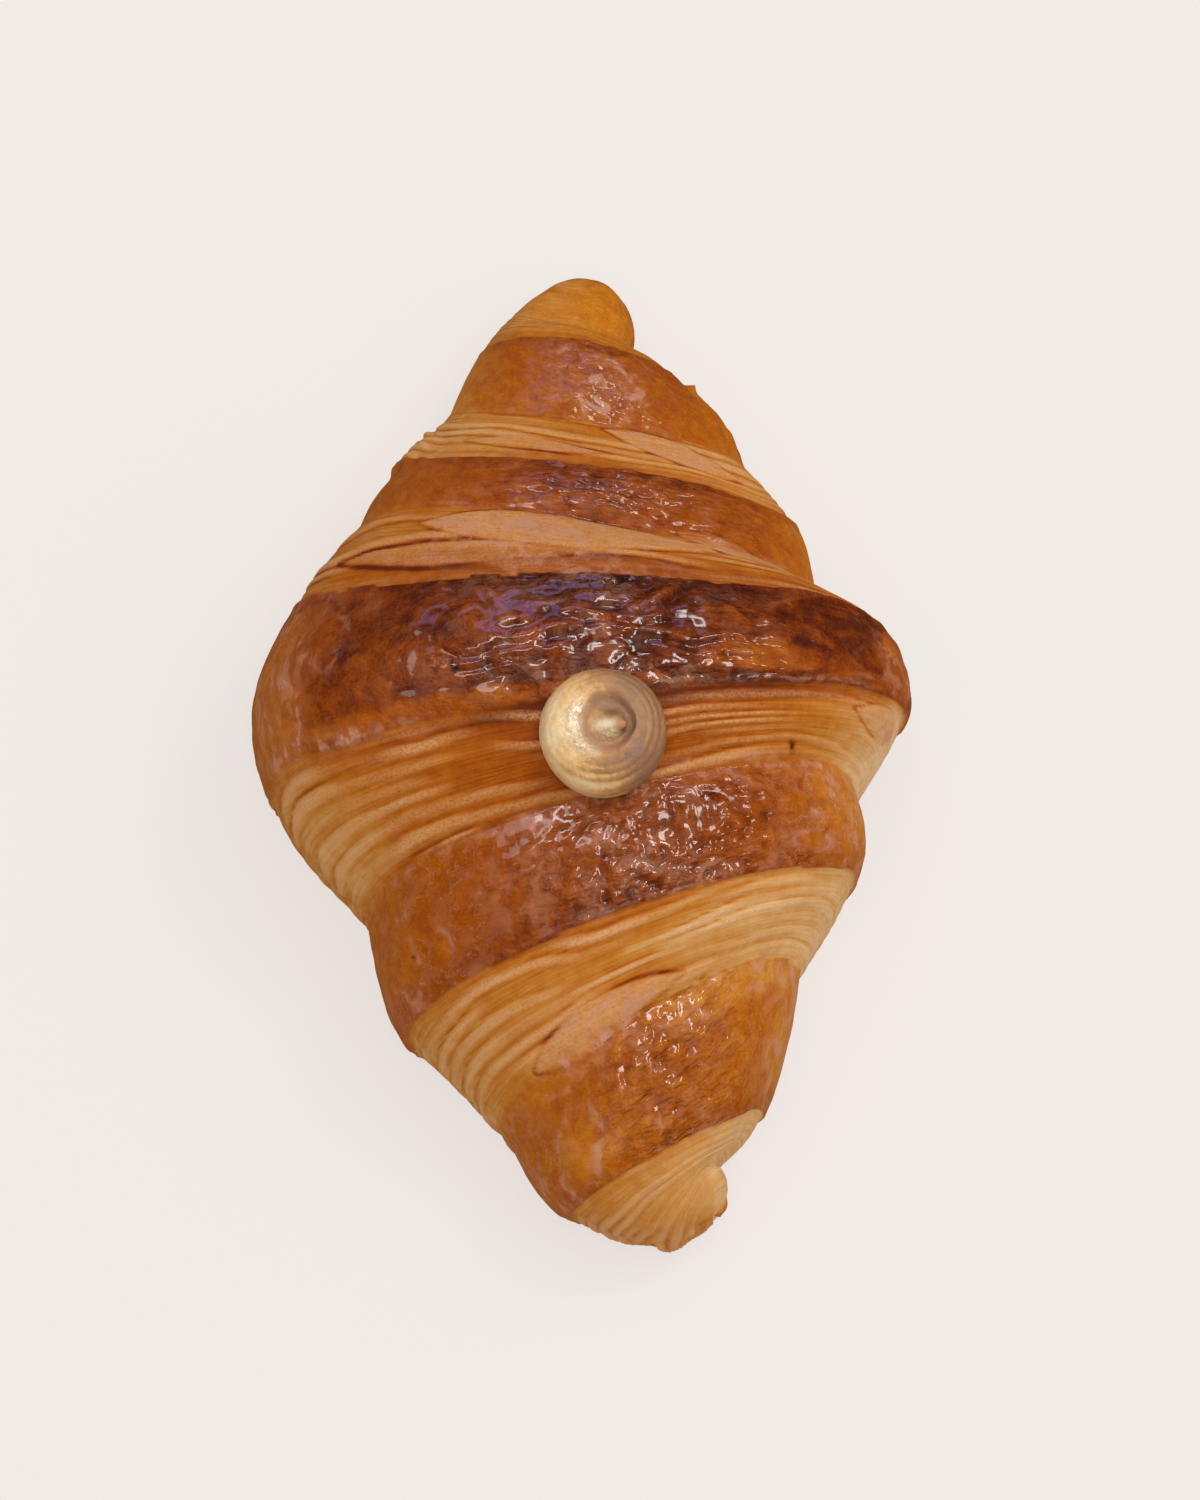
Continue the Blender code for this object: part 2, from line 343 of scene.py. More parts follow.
BORDERS = (
    Border(-1.0, (-11.5, 67.0), (7.6, 62.4), 18.0, -0.3, 0.0),
    Border(0.0, (-15.4, 61.0), (15.0, 55.4), 24.0, 0.4, 0.6),
    Border(1.0, (-20.6, 50.9), (25.5, 42.0), 30.5, -1.3, -0.8),
    Border(2.0, (-27.0, 41.0), (31.4, 31.8), 36.5, -1.2, -0.5),
    Border(3.0, (-34.2, 31.0), (36.2, 20.0), 42.0, 1.4, 0.0),
    Border(4.0, (-43.2, 17.0), (45.0, 12.6), 49.5, -0.4, -1.2),
    Border(4.5, (-47.9, 2.6), (47.0, 6.4), 53.0, 0.0, 0.0),
    Border(5.0, (-45.9, -11.4), (47.2, 1.2), 53.0, 0.5, 0.4),
    Border(6.0, (-33.4, -31.0), (42.2, -10.9), 49.0, 3.3, 0.5),
    Border(7.0, (-25.2, -48.1), (40.0, -23.4), 44.0, 1.4, 1.0),
    Border(8.0, (-13.2, -61.4), (33.7, -37.4), 36.0, 1.6, 0.0),
    Border(9.0, (-1.5, -73.0), (26.4, -56.8), 26.5, -1.8, 0.0),
    Border(10.0, (12.9, -77.1), (20.8, -65.2), 18.5, 0.0, 0.0),
)

TURNS = {
    -1: Turn(Kind.CUT, 1, (0.38, 0.36, 0.36, 0.38, 0.38), (0.0, 0.0, 0.0, 0.0, 0.0), leaves=6,
             leaf_lift=0.12, leaf_show=(0.9, 0.9, 0.9, 0.35, 0.1), leaf_gap_shade=0.3, skin_like=0.5),
    0: Turn(Kind.SKIN, -1, (0.26, 0.56, 0.64, 0.60, 0.46), (0.20, 0.06, 0.20, 0.0, 0.0),
            (0.0, 0.2, 0.8, 0.3, 0.0), 2.0, windows=(0.3, 0.15, 0.3, 0.0, 0.0)),
    1: Turn(Kind.CUT, 1, (0.36, 0.37, 0.50, 0.40, 0.36), (0.1, 0.1, 0.15, 0.05, 0.0), leaves=6,
            leaf_show=(0.7, 1.1, 1.1, 0.8, 0.3), leaf_gap_shade=0.45),
    2: Turn(Kind.SKIN, -1, (0.50, 0.66, 0.78, 0.64, 0.35), (0.1, 0.03, 0.14, 0.0, 0.0),
            (0.0, 0.15, 0.9, 0.6, 0.0), 3.2, windows=(0.2, 0.15, 0.4, 0.2, 0.0)),
    3: Turn(Kind.CUT, 1, (0.44, 0.52, 0.56, 0.52, 0.42), (0.1, 0.25, 0.50, 0.20, 0.0), leaves=6,
            leaf_show=(0.7, 0.9, 1.0, 0.8, 0.5), leaf_gap_shade=0.6),
    4: Turn(Kind.SKIN, 0, (0.48, 0.80, 0.96, 0.86, 0.74), (0.30, 0.0, 0.20, 0.02, 0.0),
            (0.05, 0.3, 1.3, 0.5, 0.2), 4.6, windows=(0.9, 0.22, 0.75, 0.04, 0.25)),
    5: Turn(Kind.CUT, -1, (0.42, 0.57, 0.76, 0.52, 0.02), (0.05, 0.05, 0.05, 0.02, 0.45), leaves=7,
            leaf_lift=0.24, leaf_show=(0.6, 1.3, 1.1, 0.4, 0.2), leaf_gap_shade=0.35),
    6: Turn(Kind.SKIN, 1, (0.50, 0.67, 0.80, 0.62, 0.38), (0.20, 0.02, 0.46, 0.06, 0.55),
            (0.0, 0.15, 1.1, 0.6, 0.1), 2.0, windows=(0.8, 0.7, 0.6, 0.9, 1.0)),
    7: Turn(Kind.CUT, -1, (0.36, 0.44, 0.44, 0.24, 0.12), (0.05, 0.05, 0.15, 0.05, 0.05), leaves=7,
            leaf_show=(0.5, 1.0, 1.2, 0.7, 0.4), leaf_gap_shade=0.3),
    8: Turn(Kind.SKIN, 1, (0.48, 0.57, 0.58, 0.49, 0.42), (0.50, 0.0, 0.22, 0.03, 0.45),
            (0.0, 0.15, 1.2, 0.5, 0.1), 2.6, windows=(0.9, 0.6, 0.5, 0.5, 0.8)),
    9: Turn(Kind.CUT, -1, (0.38, 0.34, 0.24, 0.08, 0.08), (0.1, 0.2, 0.35, 0.45, 0.35), leaves=7,
            leaf_lift=0.26, leaf_show=(1.4, 0.7, 0.30, 0.25, 0.2), leaf_gap_shade=0.15, skin_like=0.25),
}
TURN_STOPS = (-85.0, -45.0, 0.0, 45.0, 85.0)
FIRST_TURN, LAST_TURN = min(TURNS), max(TURNS)
CREASES = (1, 3, 6, 8)

FLAKES = (
    Flake(3.30, -6.0, 0.34, 36.0, 0.0, 0.42, 0.9),
    Flake(3.12, 38.0, 0.22, 18.0, 0.010, 0.26, 0.8),
    Flake(3.72, -30.0, 0.14, 34.0, 0.0, 0.22, 0.4),
    Flake(1.32, 26.0, 0.26, 26.0, 0.010, 0.30, 0.8),
    Flake(1.62, -22.0, 0.14, 26.0, 0.0, 0.20, 0.5),
    Flake(7.90, -18.0, 0.20, 30.0, -0.002, 0.45, 0.9),
    Flake(5.30, 74.0, 0.20, 16.0, 0.004, 0.16, 0.8),
)

PATCHES = (
    Patch(4.52, -44.0, 0.34, 20.0, browning=0.08),
    Patch(4.62, -68.0, 0.45, 14.0, browning=-0.10, bloom_and_sheen=0.25),
    Patch(4.50, 50.0, 0.30, 14.0, browning=0.10, bloom_and_sheen=-0.2),
    Patch(4.72, 34.0, 0.16, 14.0, browning=-0.28, bloom_and_sheen=0.1),
    Patch(4.55, 76.0, 0.40, 12.0, browning=-0.15, bloom_and_sheen=0.45),
    Patch(6.30, 72.0, 0.40, 20.0, browning=-0.10, bloom_and_sheen=0.35),
    Patch(6.15, 24.0, 0.14, 26.0, browning=0.02, bloom_and_sheen=0.12),
    Patch(6.42, 24.0, 0.28, 12.0, browning=0.08, bloom_and_sheen=-0.40),
    Patch(8.42, 80.0, 0.40, 20.0, browning=-0.10, bloom_and_sheen=0.45),
    Patch(8.11, 30.0, 0.15, 34.0, browning=-0.16, bloom_and_sheen=0.55),
    Patch(8.12, -34.0, 0.11, 24.0, browning=-0.08, bloom_and_sheen=0.4),
    Patch(5.93, 22.0, 0.06, 26.0, browning=-0.05, bloom_and_sheen=0.6),
    Patch(8.70, -43.0, 0.22, 16.0, browning=-0.10, bloom_and_sheen=0.25),
    # Painted sheen of the glaze on the first skin's crown.
    Patch(0.50, 0.0, 0.36, 20.0, bloom_and_sheen=1.2),
    Patch(4.97, -49.0, 0.05, 7.0, bloom_and_sheen=0.7),
    Patch(3.82, 0.0, 0.14, 60.0, browning=0.10, bloom_and_sheen=-0.3),
    Patch(4.93, -18.0, 0.09, 36.0, browning=-0.22),
    Patch(4.62, -30.0, 0.16, 14.0, browning=-0.10),
    Patch(8.84, -22.0, 0.20, 26.0, browning=-0.12),
    Patch(5.08, 30.0, 0.12, 50.0, browning=0.20),
    Patch(5.55, -70.0, 0.40, 18.0, browning=-0.12),
    Patch(7.42, 22.0, 0.14, 26.0, browning=-0.16),
    Patch(2.42, -6.0, 0.22, 12.0, browning=0.10),
)

MARKS = (
    Mark(4.68, -21.0, 0.6, 0.6, -0.5, 0.9),
    Mark(5.84, 44.0, 0.5, 1.3, -0.22, 0.45),
    Mark(4.50, -45.0, 1.1, 1.4, 0.20, 0.2),
    Mark(6.62, -61.0, 0.4, 0.4, -0.15, 0.5),
    Mark(8.90, -30.0, 1.1, 1.1, 0.55, -0.08),
    Mark(0.18, 68.0, 0.9, 0.7, 0.9, -0.2),
)

BLISTERS = (
    Blister(6.60, -66.0, 3.2, 5.0, 0.20, 0.55),
    Blister(8.66, -42.0, 4.6, 4.6, 0.30, 0.50),
    Blister(6.42, 46.0, 3.4, 1.8, 0.20, 0.45),
    Blister(6.55, 60.0, 2.8, 2.4, 0.20, 0.50),
    Blister(6.76, 50.0, 3.6, 1.5, 0.15, 0.45),
    Blister(6.22, 56.0, 3.0, 2.0, 0.15, 0.40),
    Blister(6.82, 66.0, 2.4, 1.6, 0.20, 0.45),
    Blister(4.70, 62.0, 3.6, 2.8, 0.25, 0.25),
    Blister(4.36, -52.0, 4.4, 3.0, 0.20, 0.30),
    Blister(4.74, -64.0, 4.0, 3.2, 0.20, 0.35),
    Blister(6.40, -38.0, 2.2, 1.6, 0.15, 0.35),
    Blister(6.72, -50.0, 2.0, 2.4, 0.15, 0.35),
    Blister(8.40, 62.0, 3.0, 2.0, 0.20, 0.35),
    Blister(1.78, -80.0, 9.0, 9.0, 1.30, 0.0),
    Blister(0.42, 82.0, 8.0, 8.0, 0.90, 0.0),
    Blister(7.36, -104.0, 14.0, 8.0, -0.85, 0.0),
    Blister(8.00, -104.0, 12.0, 4.0, 0.60, 0.0),
    Blister(9.15, -104.0, 12.0, 6.0, -0.60, 0.0),
)


@dataclass
class Roll:
    """The rolled body's smooth form, before any relief."""

    around: int = 212
    waist: float = 0.42
    side_roundness: float = 2.15
    crown_roundness: float = 2.25
    sole_roundness: float = 3.2
    pressed_share: float = 0.022
    far_tip_reach: tuple[float, float] = (2.7, 9.6)
    near_tip_reach: tuple[float, float] = (2.6, -1.5)
    far_tip_taper: tuple[float, float] = (0.25, -0.20)
    near_tip_taper: tuple[float, float] = (0.30, -0.24)
    tip_span: float = 0.5
    skin_rings: int = 36
    cut_rings: int = 42
    tip_rings: int = 15

    def sizes(self, number: np.ndarray) -> np.ndarray:
        """The borders' sizes on a smooth curve through them.

        Args:
            number: border numbers, whole or between.

        Returns:
            A row for each number: left x and y, right x and y, height, lean and skew.
        """
        key = np.array([border.number for border in BORDERS])
        sizes = np.array([(*b.left, *b.right, b.height, b.lean, b.skew) for b in BORDERS])
        slope = np.gradient(sizes, key, axis=0)
        at = np.clip(np.searchsorted(key, number, side="right") - 1, 0, len(key) - 2)
        span = (key[at + 1] - key[at])[:, None]
        t = (np.clip(number, key[0], key[-1]) - key[at])[:, None] / span
        start = (2 * t**3 - 3 * t**2 + 1) * sizes[at] + (t**3 - 2 * t**2 + t) * span * slope[at]
        end = (3 * t**2 - 2 * t**3) * sizes[at + 1] + (t**3 - t**2) * span * slope[at + 1]
        return start + end

    def section(self) -> tuple[np.ndarray, np.ndarray, np.ndarray]:
        """One cross-section of the roll.

        Returns:
            Angle, sideways share and height share of its points, which lie closest together on the crown.
        """
        angle = np.linspace(0.0, 2.0 * np.pi, 8001)
        sine, cosine = np.sin(angle), np.cos(angle)
        aside = np.sign(sine) * np.abs(sine) ** (2.0 / self.side_roundness)
        crown = self.waist + (1.0 - self.waist) * np.abs(cosine) ** (2.0 / self.crown_roundness)
        flattened = np.abs(cosine) ** (2.0 / self.sole_roundness)
        sole = self.waist - (self.waist + self.pressed_share) * flattened
        height = np.where(cosine >= 0.0, crown, sole)
        steps = np.hypot(np.diff(aside), 0.75 * np.diff(height))
        middle = (cosine[1:] + cosine[:-1]) / 2.0
        steps = steps * (0.30 + 0.70 * ease(middle, -0.35, 0.15))
        walk = np.concatenate([[0.0], np.cumsum(steps)])
        even = np.linspace(0.0, walk[-1], self.around + 1)[:-1]
        return np.interp(even, walk, angle), np.interp(even, walk, aside), np.interp(even, walk, height)

    def ring_numbers(self) -> np.ndarray:
        """Places the rings.

        Returns:
            The border number of each ring, from the far tip to the near one.
        """
        tip = self.tip_span * np.sin(np.linspace(0.0, np.pi / 2.0, self.tip_rings + 2))[1:]
        numbers = list(BORDERS[0].number - tip[::-1])
        for key, turn in TURNS.items():
            count = self.skin_rings if turn.kind is Kind.SKIN else self.cut_rings
            numbers += list(key + (np.arange(count) + 0.5) / count)
        return np.array(numbers + list(BORDERS[-1].number + tip))

    def form(self, numbers: np.ndarray) -> tuple[np.ndarray, np.ndarray, np.ndarray]:
        """The smooth form.

        Args:
            numbers: border number of each ring.

        Returns:
            Points in millimetres, the angle from the crown in radians, and how far each ring is from a tip.
        """
        angle, aside, level = self.section()
        first, last = BORDERS[0].number, BORDERS[-1].number
        sizes = self.sizes(np.clip(numbers, first, last))
        left, right, height = sizes[:, 0:2], sizes[:, 2:4], sizes[:, 4:5]
        lean, skew = sizes[:, 5:6], sizes[:, 6:7]
        far = np.clip(first - numbers, 0.0, None)[:, None] / self.tip_span
        near = np.clip(numbers - last, 0.0, None)[:, None] / self.tip_span
        shrink = np.sqrt(np.clip(1.0 - (far + near) ** 2, 0.0, 1.0))
        far_taper = (self.far_tip_taper[0] + self.far_tip_taper[1] * aside) * far
        near_taper = (self.near_tip_taper[0] + self.near_tip_taper[1] * aside) * near
        narrow = shrink * (1.0 - far_taper - near_taper)
        centre = (left + right) / 2.0 + far * np.array(self.far_tip_reach)
        centre = centre + near * np.array(self.near_tip_reach)
        half = (right - left) / 2.0
        rise = np.clip((level - self.waist) / (1.0 - self.waist), 0.0, 1.0)
        points = np.empty((len(numbers), self.around, 3))
        points[..., 0] = centre[:, 0:1] + half[:, 0:1] * aside * narrow
        leaning = (lean - skew * aside) * rise
        points[..., 1] = centre[:, 1:2] + half[:, 1:2] * aside * narrow + leaning * narrow
        points[..., 2] = self.waist * height + (level - self.waist) * height * narrow
        return points, angle, shrink


def outward(points: np.ndarray) -> np.ndarray:
    """Normals of a grid of closed rings.

    Args:
        points: the rings' points.

    Returns:
        A unit normal for each point.
    """
    along = np.gradient(points, axis=0)
    across = np.roll(points, -1, axis=1) - np.roll(points, 1, axis=1)
    normal = np.cross(along, across)
    return normal / (np.linalg.norm(normal, axis=2, keepdims=True) + 1e-9)


@dataclass(frozen=True)
class Unevenness:
    """Seeded unevenness at each point. Folds and puffs are kept by the fold length of the turns."""

    folds: dict[float, np.ndarray]
    puffs: dict[float, np.ndarray]
    lump: np.ndarray
    dome: np.ndarray
    pimple: np.ndarray
    thread: np.ndarray
    leaf_warp: np.ndarray
    patch: np.ndarray
    step: np.ndarray
    step_line: np.ndarray
    panel: np.ndarray


@dataclass
class Bake:
    """How the roll's surface came out of the oven, with painted shade and painted sheen laid over it.

    Lifts, widths and sizes are in millimetres, a pair of sizes across the roll and along it. Reliefs multiply
    the heights, and darkening, paling, painted shade and painted sheen are shares of browning and of the
    bloom with its painted sheen.
    """

    tip_relief: float = 1.1
    middle_relief: float = 1.9
    relief_middle: float = 4.6
    relief_reach: float = 3.2
    crease: float = -1.0
    tip_crease: float = -0.15
    shoulder: float = 0.95
    skin_edge: float = 0.70
    cut_edge: float = 0.35
    cut_bulge: float = 0.18
    middle_skin: float = 1.15
    lump: float = 0.32
    along_step: float = 15.5
    border_wobble: tuple[float, float] = (0.026, 0.010)
    border_size: tuple[float, float] = (17.0, 9.0)
    border_fine_size: tuple[float, float] = (5.0, 6.0)
    warp: float = 2.2
    warp_size: tuple[float, float] = (9.0, 6.0)
    plate_width: float = 2.9
    plate_lift: float = 0.62
    plate_length: float = 8.0
    plate_line_size: tuple[float, float] = (13.0, 5.0)
    # Painted shade along a plate's drop.
    plate_drop_shade: float = 0.10
    panel_show: tuple[float, ...] = (0.1, 0.2, 0.6, 1.0, 0.7)
    panel_size: tuple[float, float] = (7.5, 3.4)
    panel_drop: float = 0.16
    panel_darkening: float = 0.24
    fold_pitch: float = 1.75
    fold_lift: float = 0.52
    # Painted shade in the valleys between folds.
    fold_valley_shade: float = 0.18
    # Painted sheen on the raised fold crests.
    fold_crest_sheen: float = 0.28
    puff_lift: float = 0.46
    puff_reach: float = 0.75
    # Painted shade in the valleys between puffs.
    puff_valley_shade: float = 0.16
    lump_size: float = 3.4
    pimple_lift: float = 0.06
    pimple_size: float = 1.7
    rim_lift: float = 0.13
    rim_darkening: float = 0.10
    rim_paling: float = 0.20
    crease_paling: float = 0.30
    dome_lift: float = 0.10
    dome_size: float = 3.6
    thread_lift: float = 0.04
    thread_size: tuple[float, float] = (18.0, 0.75)
    patch_size: tuple[float, float] = (16.0, 6.0)
    leaf_length: float = 15.0
    leaf_line_size: tuple[float, float] = (24.0, 8.0)
    leaf_line_fine_size: tuple[float, float] = (8.0, 3.5)
    leaf_line_wander: tuple[float, float] = (0.75, 0.16)
    leaf_crest: float = 1.5
    leaf_trough: float = 0.35
    crown_darkening: float = 0.14
    crown_reach: float = 60.0
    flake_blend: float = 0.8
    # Width of the painted shadow along a flake's edge.
    flake_shadow_width: float = 0.32
    speckle_lift: float = 0.03
    nub_length: float = 0.35
    crease_blend: float = 1.5
    crease_raggedness: float = 0.7
    edge_blend: float = 0.45

    def depth(self, number: np.ndarray) -> np.ndarray:
        """How deep the relief across the layers is at each border number."""
        more = self.middle_relief - self.tip_relief
        return self.tip_relief + more * bell(number, self.relief_middle, self.relief_reach)

    def lumps(self, number: np.ndarray, angle: np.ndarray) -> np.ndarray:
        """Slow unevenness of risen dough.

        Args:
            number: border number of each point.
            angle: angle from the crown in radians.

        Returns:
            A value from about -1 to 1 for each point.
        """
        waves = ((1.7, 2.0, 0.4, 1.0), (2.9, -3.0, 1.9, 0.8), (4.3, 5.0, 4.1, 0.6), (1.1, -7.0, 2.6, 0.5))
        total = sum(size * np.sin(on * number + turns * angle + start) for on, turns, start, size in waves)
        return total / 2.0

    def calm(self, number: np.ndarray, angle: np.ndarray) -> np.ndarray:
        """How much of the relief is left at the sides, where the dough lies smoother.

        Args:
            number: border number of each point.
            angle: angle from the crown in radians.

        Returns:
            A share for each point.
        """
        far_half = 1.0 - ease(number, 3.0, 5.0)
        to_right, to_left = np.clip(np.sin(angle), 0.0, 1.0), np.clip(-np.sin(angle), 0.0, 1.0)
        return 1.0 - far_half * (0.35 * to_right + 0.65 * to_left) - 0.15 * (1.0 - far_half) * to_left

    def unevenness(self, across: np.ndarray, along: np.ndarray, spot: np.ndarray) -> Unevenness:
        """Works out what is uneven at each point.

        Args:
            across: distance from the crown along the ring, in millimetres.
            along: distance along the roll, in millimetres.
            spot: the points themselves, in millimetres.

        Returns:
            The unevenness that all turns share.
        """
        warp = self.warp * Grain(Seed.WARP).soft(laid_out(across, along, self.warp_size))
        warped = along + warp
        folds, puffs = {}, {}
        for length in sorted({turn.fold_length for turn in TURNS.values() if turn.kind is Kind.SKIN}):
            place = stack(across / length, warped / self.fold_pitch, 0.3 * spot[..., 2] / length)
            folds[length] = Grain(Seed.FOLDS).folds(place, 3)
            place = stack(across / (0.95 * length), warped / (0.45 * length + 0.5), 0.5)
            puffs[length] = 1.0 - np.clip(Grain(Seed.PUFFS).cells(place)[0] / self.puff_reach, 0.0, 1.0) ** 2
        dome_away, dome_chance = Grain(Seed.DOMES).cells(spot / self.dome_size)
        pimple_away, pimple_chance = Grain(Seed.PIMPLES).cells(spot / self.pimple_size)
        far, near = self.leaf_line_wander
        leaf_warp = far * Grain(Seed.LEAF_LINE).soft(laid_out(across, along, self.leaf_line_size))
        fine_line = laid_out(across, along, self.leaf_line_fine_size)
        leaf_warp += near * Grain(Seed.LEAF_LINE_FINE).soft(fine_line)
        phase = 0.9 * Grain(Seed.PLATE_LINE).soft(laid_out(across, along, self.plate_line_size))
        phase = warped / self.plate_width + phase
        plate = np.floor(phase)
        part = phase - plate
        shown = Grain(Seed.PLATES).soft(stack(across / self.plate_length + 3.7 * plate, 0.37 * plate, 0.0))
        shown = np.clip(0.45 + 0.9 * shown, 0.0, 1.0)
        panel = laid_out(across + 2.0 * warp, along + 0.6 * warp, self.panel_size, 0.5)
        return Unevenness(
            folds=folds,
            puffs=puffs,
            lump=Grain(Seed.LUMPS).layered(spot / self.lump_size),
            dome=ease(1.0 - dome_away / 0.62, 0.0, 0.7) * (dome_chance > 0.45),
            pimple=ease(1.0 - pimple_away / 0.5, 0.0, 0.8) * (pimple_chance > 0.55),
            thread=Grain(Seed.THREADS).layered(laid_out(across, along, self.thread_size), 3, 0.6),
            leaf_warp=leaf_warp,
            patch=Grain(Seed.PATCHES).layered(laid_out(across, along, self.patch_size, 2.0), 2),
            step=(part * (1.0 - ease(part, 0.84, 1.0)) - 0.4) * shown,
            step_line=bell(part, 0.95, 0.08) * shown,
            panel=Grain(Seed.PANELS).cells(panel)[1] - 0.5,
        )

    def skin_strip(
        self, turn: Turn, inside: np.ndarray, degrees: np.ndarray, uneven: Unevenness
    ) -> dict[str, np.ndarray]:
        """One strip of glazed skin.

        Args:
            turn: the strip.
            inside: how far each point is from the strip's first border to its second, from 0 to 1.
            degrees: degrees from the crown.
            uneven: the surface's unevenness.

        Returns:
            The strip's fields by name.
        """
        share = inside if turn.free_side > 0 else 1.0 - inside
        given = (turn.wrinkle, turn.browning, turn.bloom_and_sheen, turn.windows)
        wrinkle, browning, bloom_and_sheen, windows = (np.interp(degrees, TURN_STOPS, values) for values in given)
        if turn.free_side == 0:
            height = self.middle_skin - (self.middle_skin - self.skin_edge) * np.abs(2.0 * inside - 1.0) ** 3
            rim = np.maximum(ease(inside, 0.94, 0.99), ease(1.0 - inside, 0.94, 0.99))
            height = height + self.plate_lift * uneven.step * (0.25 + 0.75 * wrinkle)
            panel = np.interp(degrees, TURN_STOPS, self.panel_show) * uneven.panel
            height = height - self.panel_drop * panel
            # Painted shade along each plate's drop, and painted light where the plate rises towards it.
            browning = browning + self.plate_drop_shade * uneven.step_line - 0.06 * uneven.step
            browning = browning + self.panel_darkening * panel
            bloom_and_sheen = bloom_and_sheen + 0.16 * uneven.step
            tuck = np.zeros(degrees.shape)
        else:
            height = self.crease + (self.shoulder - self.crease) * (1.0 - (1.0 - share) ** 2.4)
            height -= (self.shoulder - self.skin_edge) * share**6
            rim = ease(share, 0.93, 0.99)
            tuck = 1.0 - ease(share, 0.0, 0.30)
        folds, puffs = uneven.folds[turn.fold_length], uneven.puffs[turn.fold_length]
        raised = self.fold_lift * (folds - 0.35) + self.puff_lift * (puffs - 0.5)
        fine = wrinkle * raised * (1.0 - 0.6 * tuck)
        fine += self.pimple_lift * uneven.pimple * (0.3 + wrinkle)
        fine += self.rim_lift * rim
        fine += self.dome_lift * uneven.dome
        browning = browning + self.rim_darkening * ease(share, 0.70, 0.95) - 0.05 * tuck
        # Painted shade in the valleys between folds and puffs.
        valley_shade = self.fold_valley_shade * (0.45 - folds) + self.puff_valley_shade * (0.5 - puffs)
        browning = browning + valley_shade * wrinkle
        bloom_and_sheen = bloom_and_sheen * (0.75 + 0.35 * uneven.lump + 0.25 * uneven.dome + 0.20 * uneven.pimple)
        # Painted sheen on the raised fold crests.
        bloom_and_sheen = bloom_and_sheen + self.fold_crest_sheen * ease(folds, 0.45, 0.9) * wrinkle
        bloom_and_sheen = bloom_and_sheen + self.rim_paling * rim * ease(uneven.patch, -0.2, 0.5)
        bloom_and_sheen = bloom_and_sheen + self.crease_paling * bell(share, 0.045, 0.03) * ease(uneven.patch, -0.6, 0.4)
        return {
            "height": height,
            "fine": fine,
            "browning": browning,
            "bloom_and_sheen": bloom_and_sheen,
            "groove": np.zeros(degrees.shape),
            "shine": 0.15 + 0.75 * wrinkle,
            "film": windows * ease(uneven.patch, -0.8, 0.4),
        }

    def cut_strip(
        self, key: int, past: np.ndarray, angle: np.ndarray, across: np.ndarray, uneven: Unevenness
    ) -> dict[str, np.ndarray]:
        """One strip of cut edge with its leaves.

        Args:
            key: number of the strip's first border.
            past: how far each point is past that border, 1 at the next one.
            angle: angle from the crown in radians.
            across: distance from the crown along the ring, in millimetres.
            uneven: the surface's unevenness.

        Returns:
            The strip's fields by name.
        """
        turn, degrees = TURNS[key], crown_degrees(angle)
        given = (turn.browning, turn.bloom_and_sheen, turn.leaf_show)
        browning, bloom_and_sheen, show = (np.interp(degrees, TURN_STOPS, values) for values in given)
        opened = past if turn.free_side > 0 else 1.0 - past
        inside = np.clip(past, 0.0, 1.0)
        share = inside if turn.free_side > 0 else 1.0 - inside
        crease = self.crease
        if key in (FIRST_TURN, LAST_TURN):
            crease = self.tip_crease + (crease - self.tip_crease) * ease(np.sin(angle), 0.55, 1.0)
        phase = opened * turn.leaves + uneven.leaf_warp
        leaf = np.floor(phase)
        part = phase - leaf
        place = stack(across / self.leaf_length + 5.1 * leaf, 0.37 * leaf, 0.0)
        grown = Grain(Seed.LEAVES + key).soft(place)
        crest = ease(part, 0.06, 0.40) * (1.0 - ease(part, 0.60, 0.96))
        strength = np.clip(0.60 + 0.95 * grown + 0.45 * uneven.patch, 0.0, 1.25) * show
        strength = strength * (1.0 - 0.8 * ease(share, 0.84, 0.98))
        # Painted shade along the gap before the next leaf, where the surface is also grooved.
        shade_line = bell(part, 0.90, 0.11) * strength
        slope = crease + (self.cut_edge - crease) * share**0.85
        fine = turn.leaf_lift * (self.leaf_crest * strength * crest - self.leaf_trough * shade_line)
        darker = self.crown_darkening * ease(share, 0.62, 1.0) * bell(degrees, 0.0, self.crown_reach)
        return {
            "height": slope + self.cut_bulge * np.sin(np.pi * share),
            "fine": fine + self.thread_lift * uneven.thread * show,
            "browning": browning + darker,
            "bloom_and_sheen": bloom_and_sheen * (0.6 + 0.6 * uneven.patch),
            # The groove is high on the crests and low on the gaps between leaves, which get painted shade.
            "groove": 0.85 * crest * strength - turn.leaf_gap_shade * shade_line * ease(grown, -0.5, 0.3),
            "shine": 0.30 + 0.25 * (1.0 - crest),
            "film": np.zeros(degrees.shape),
        }

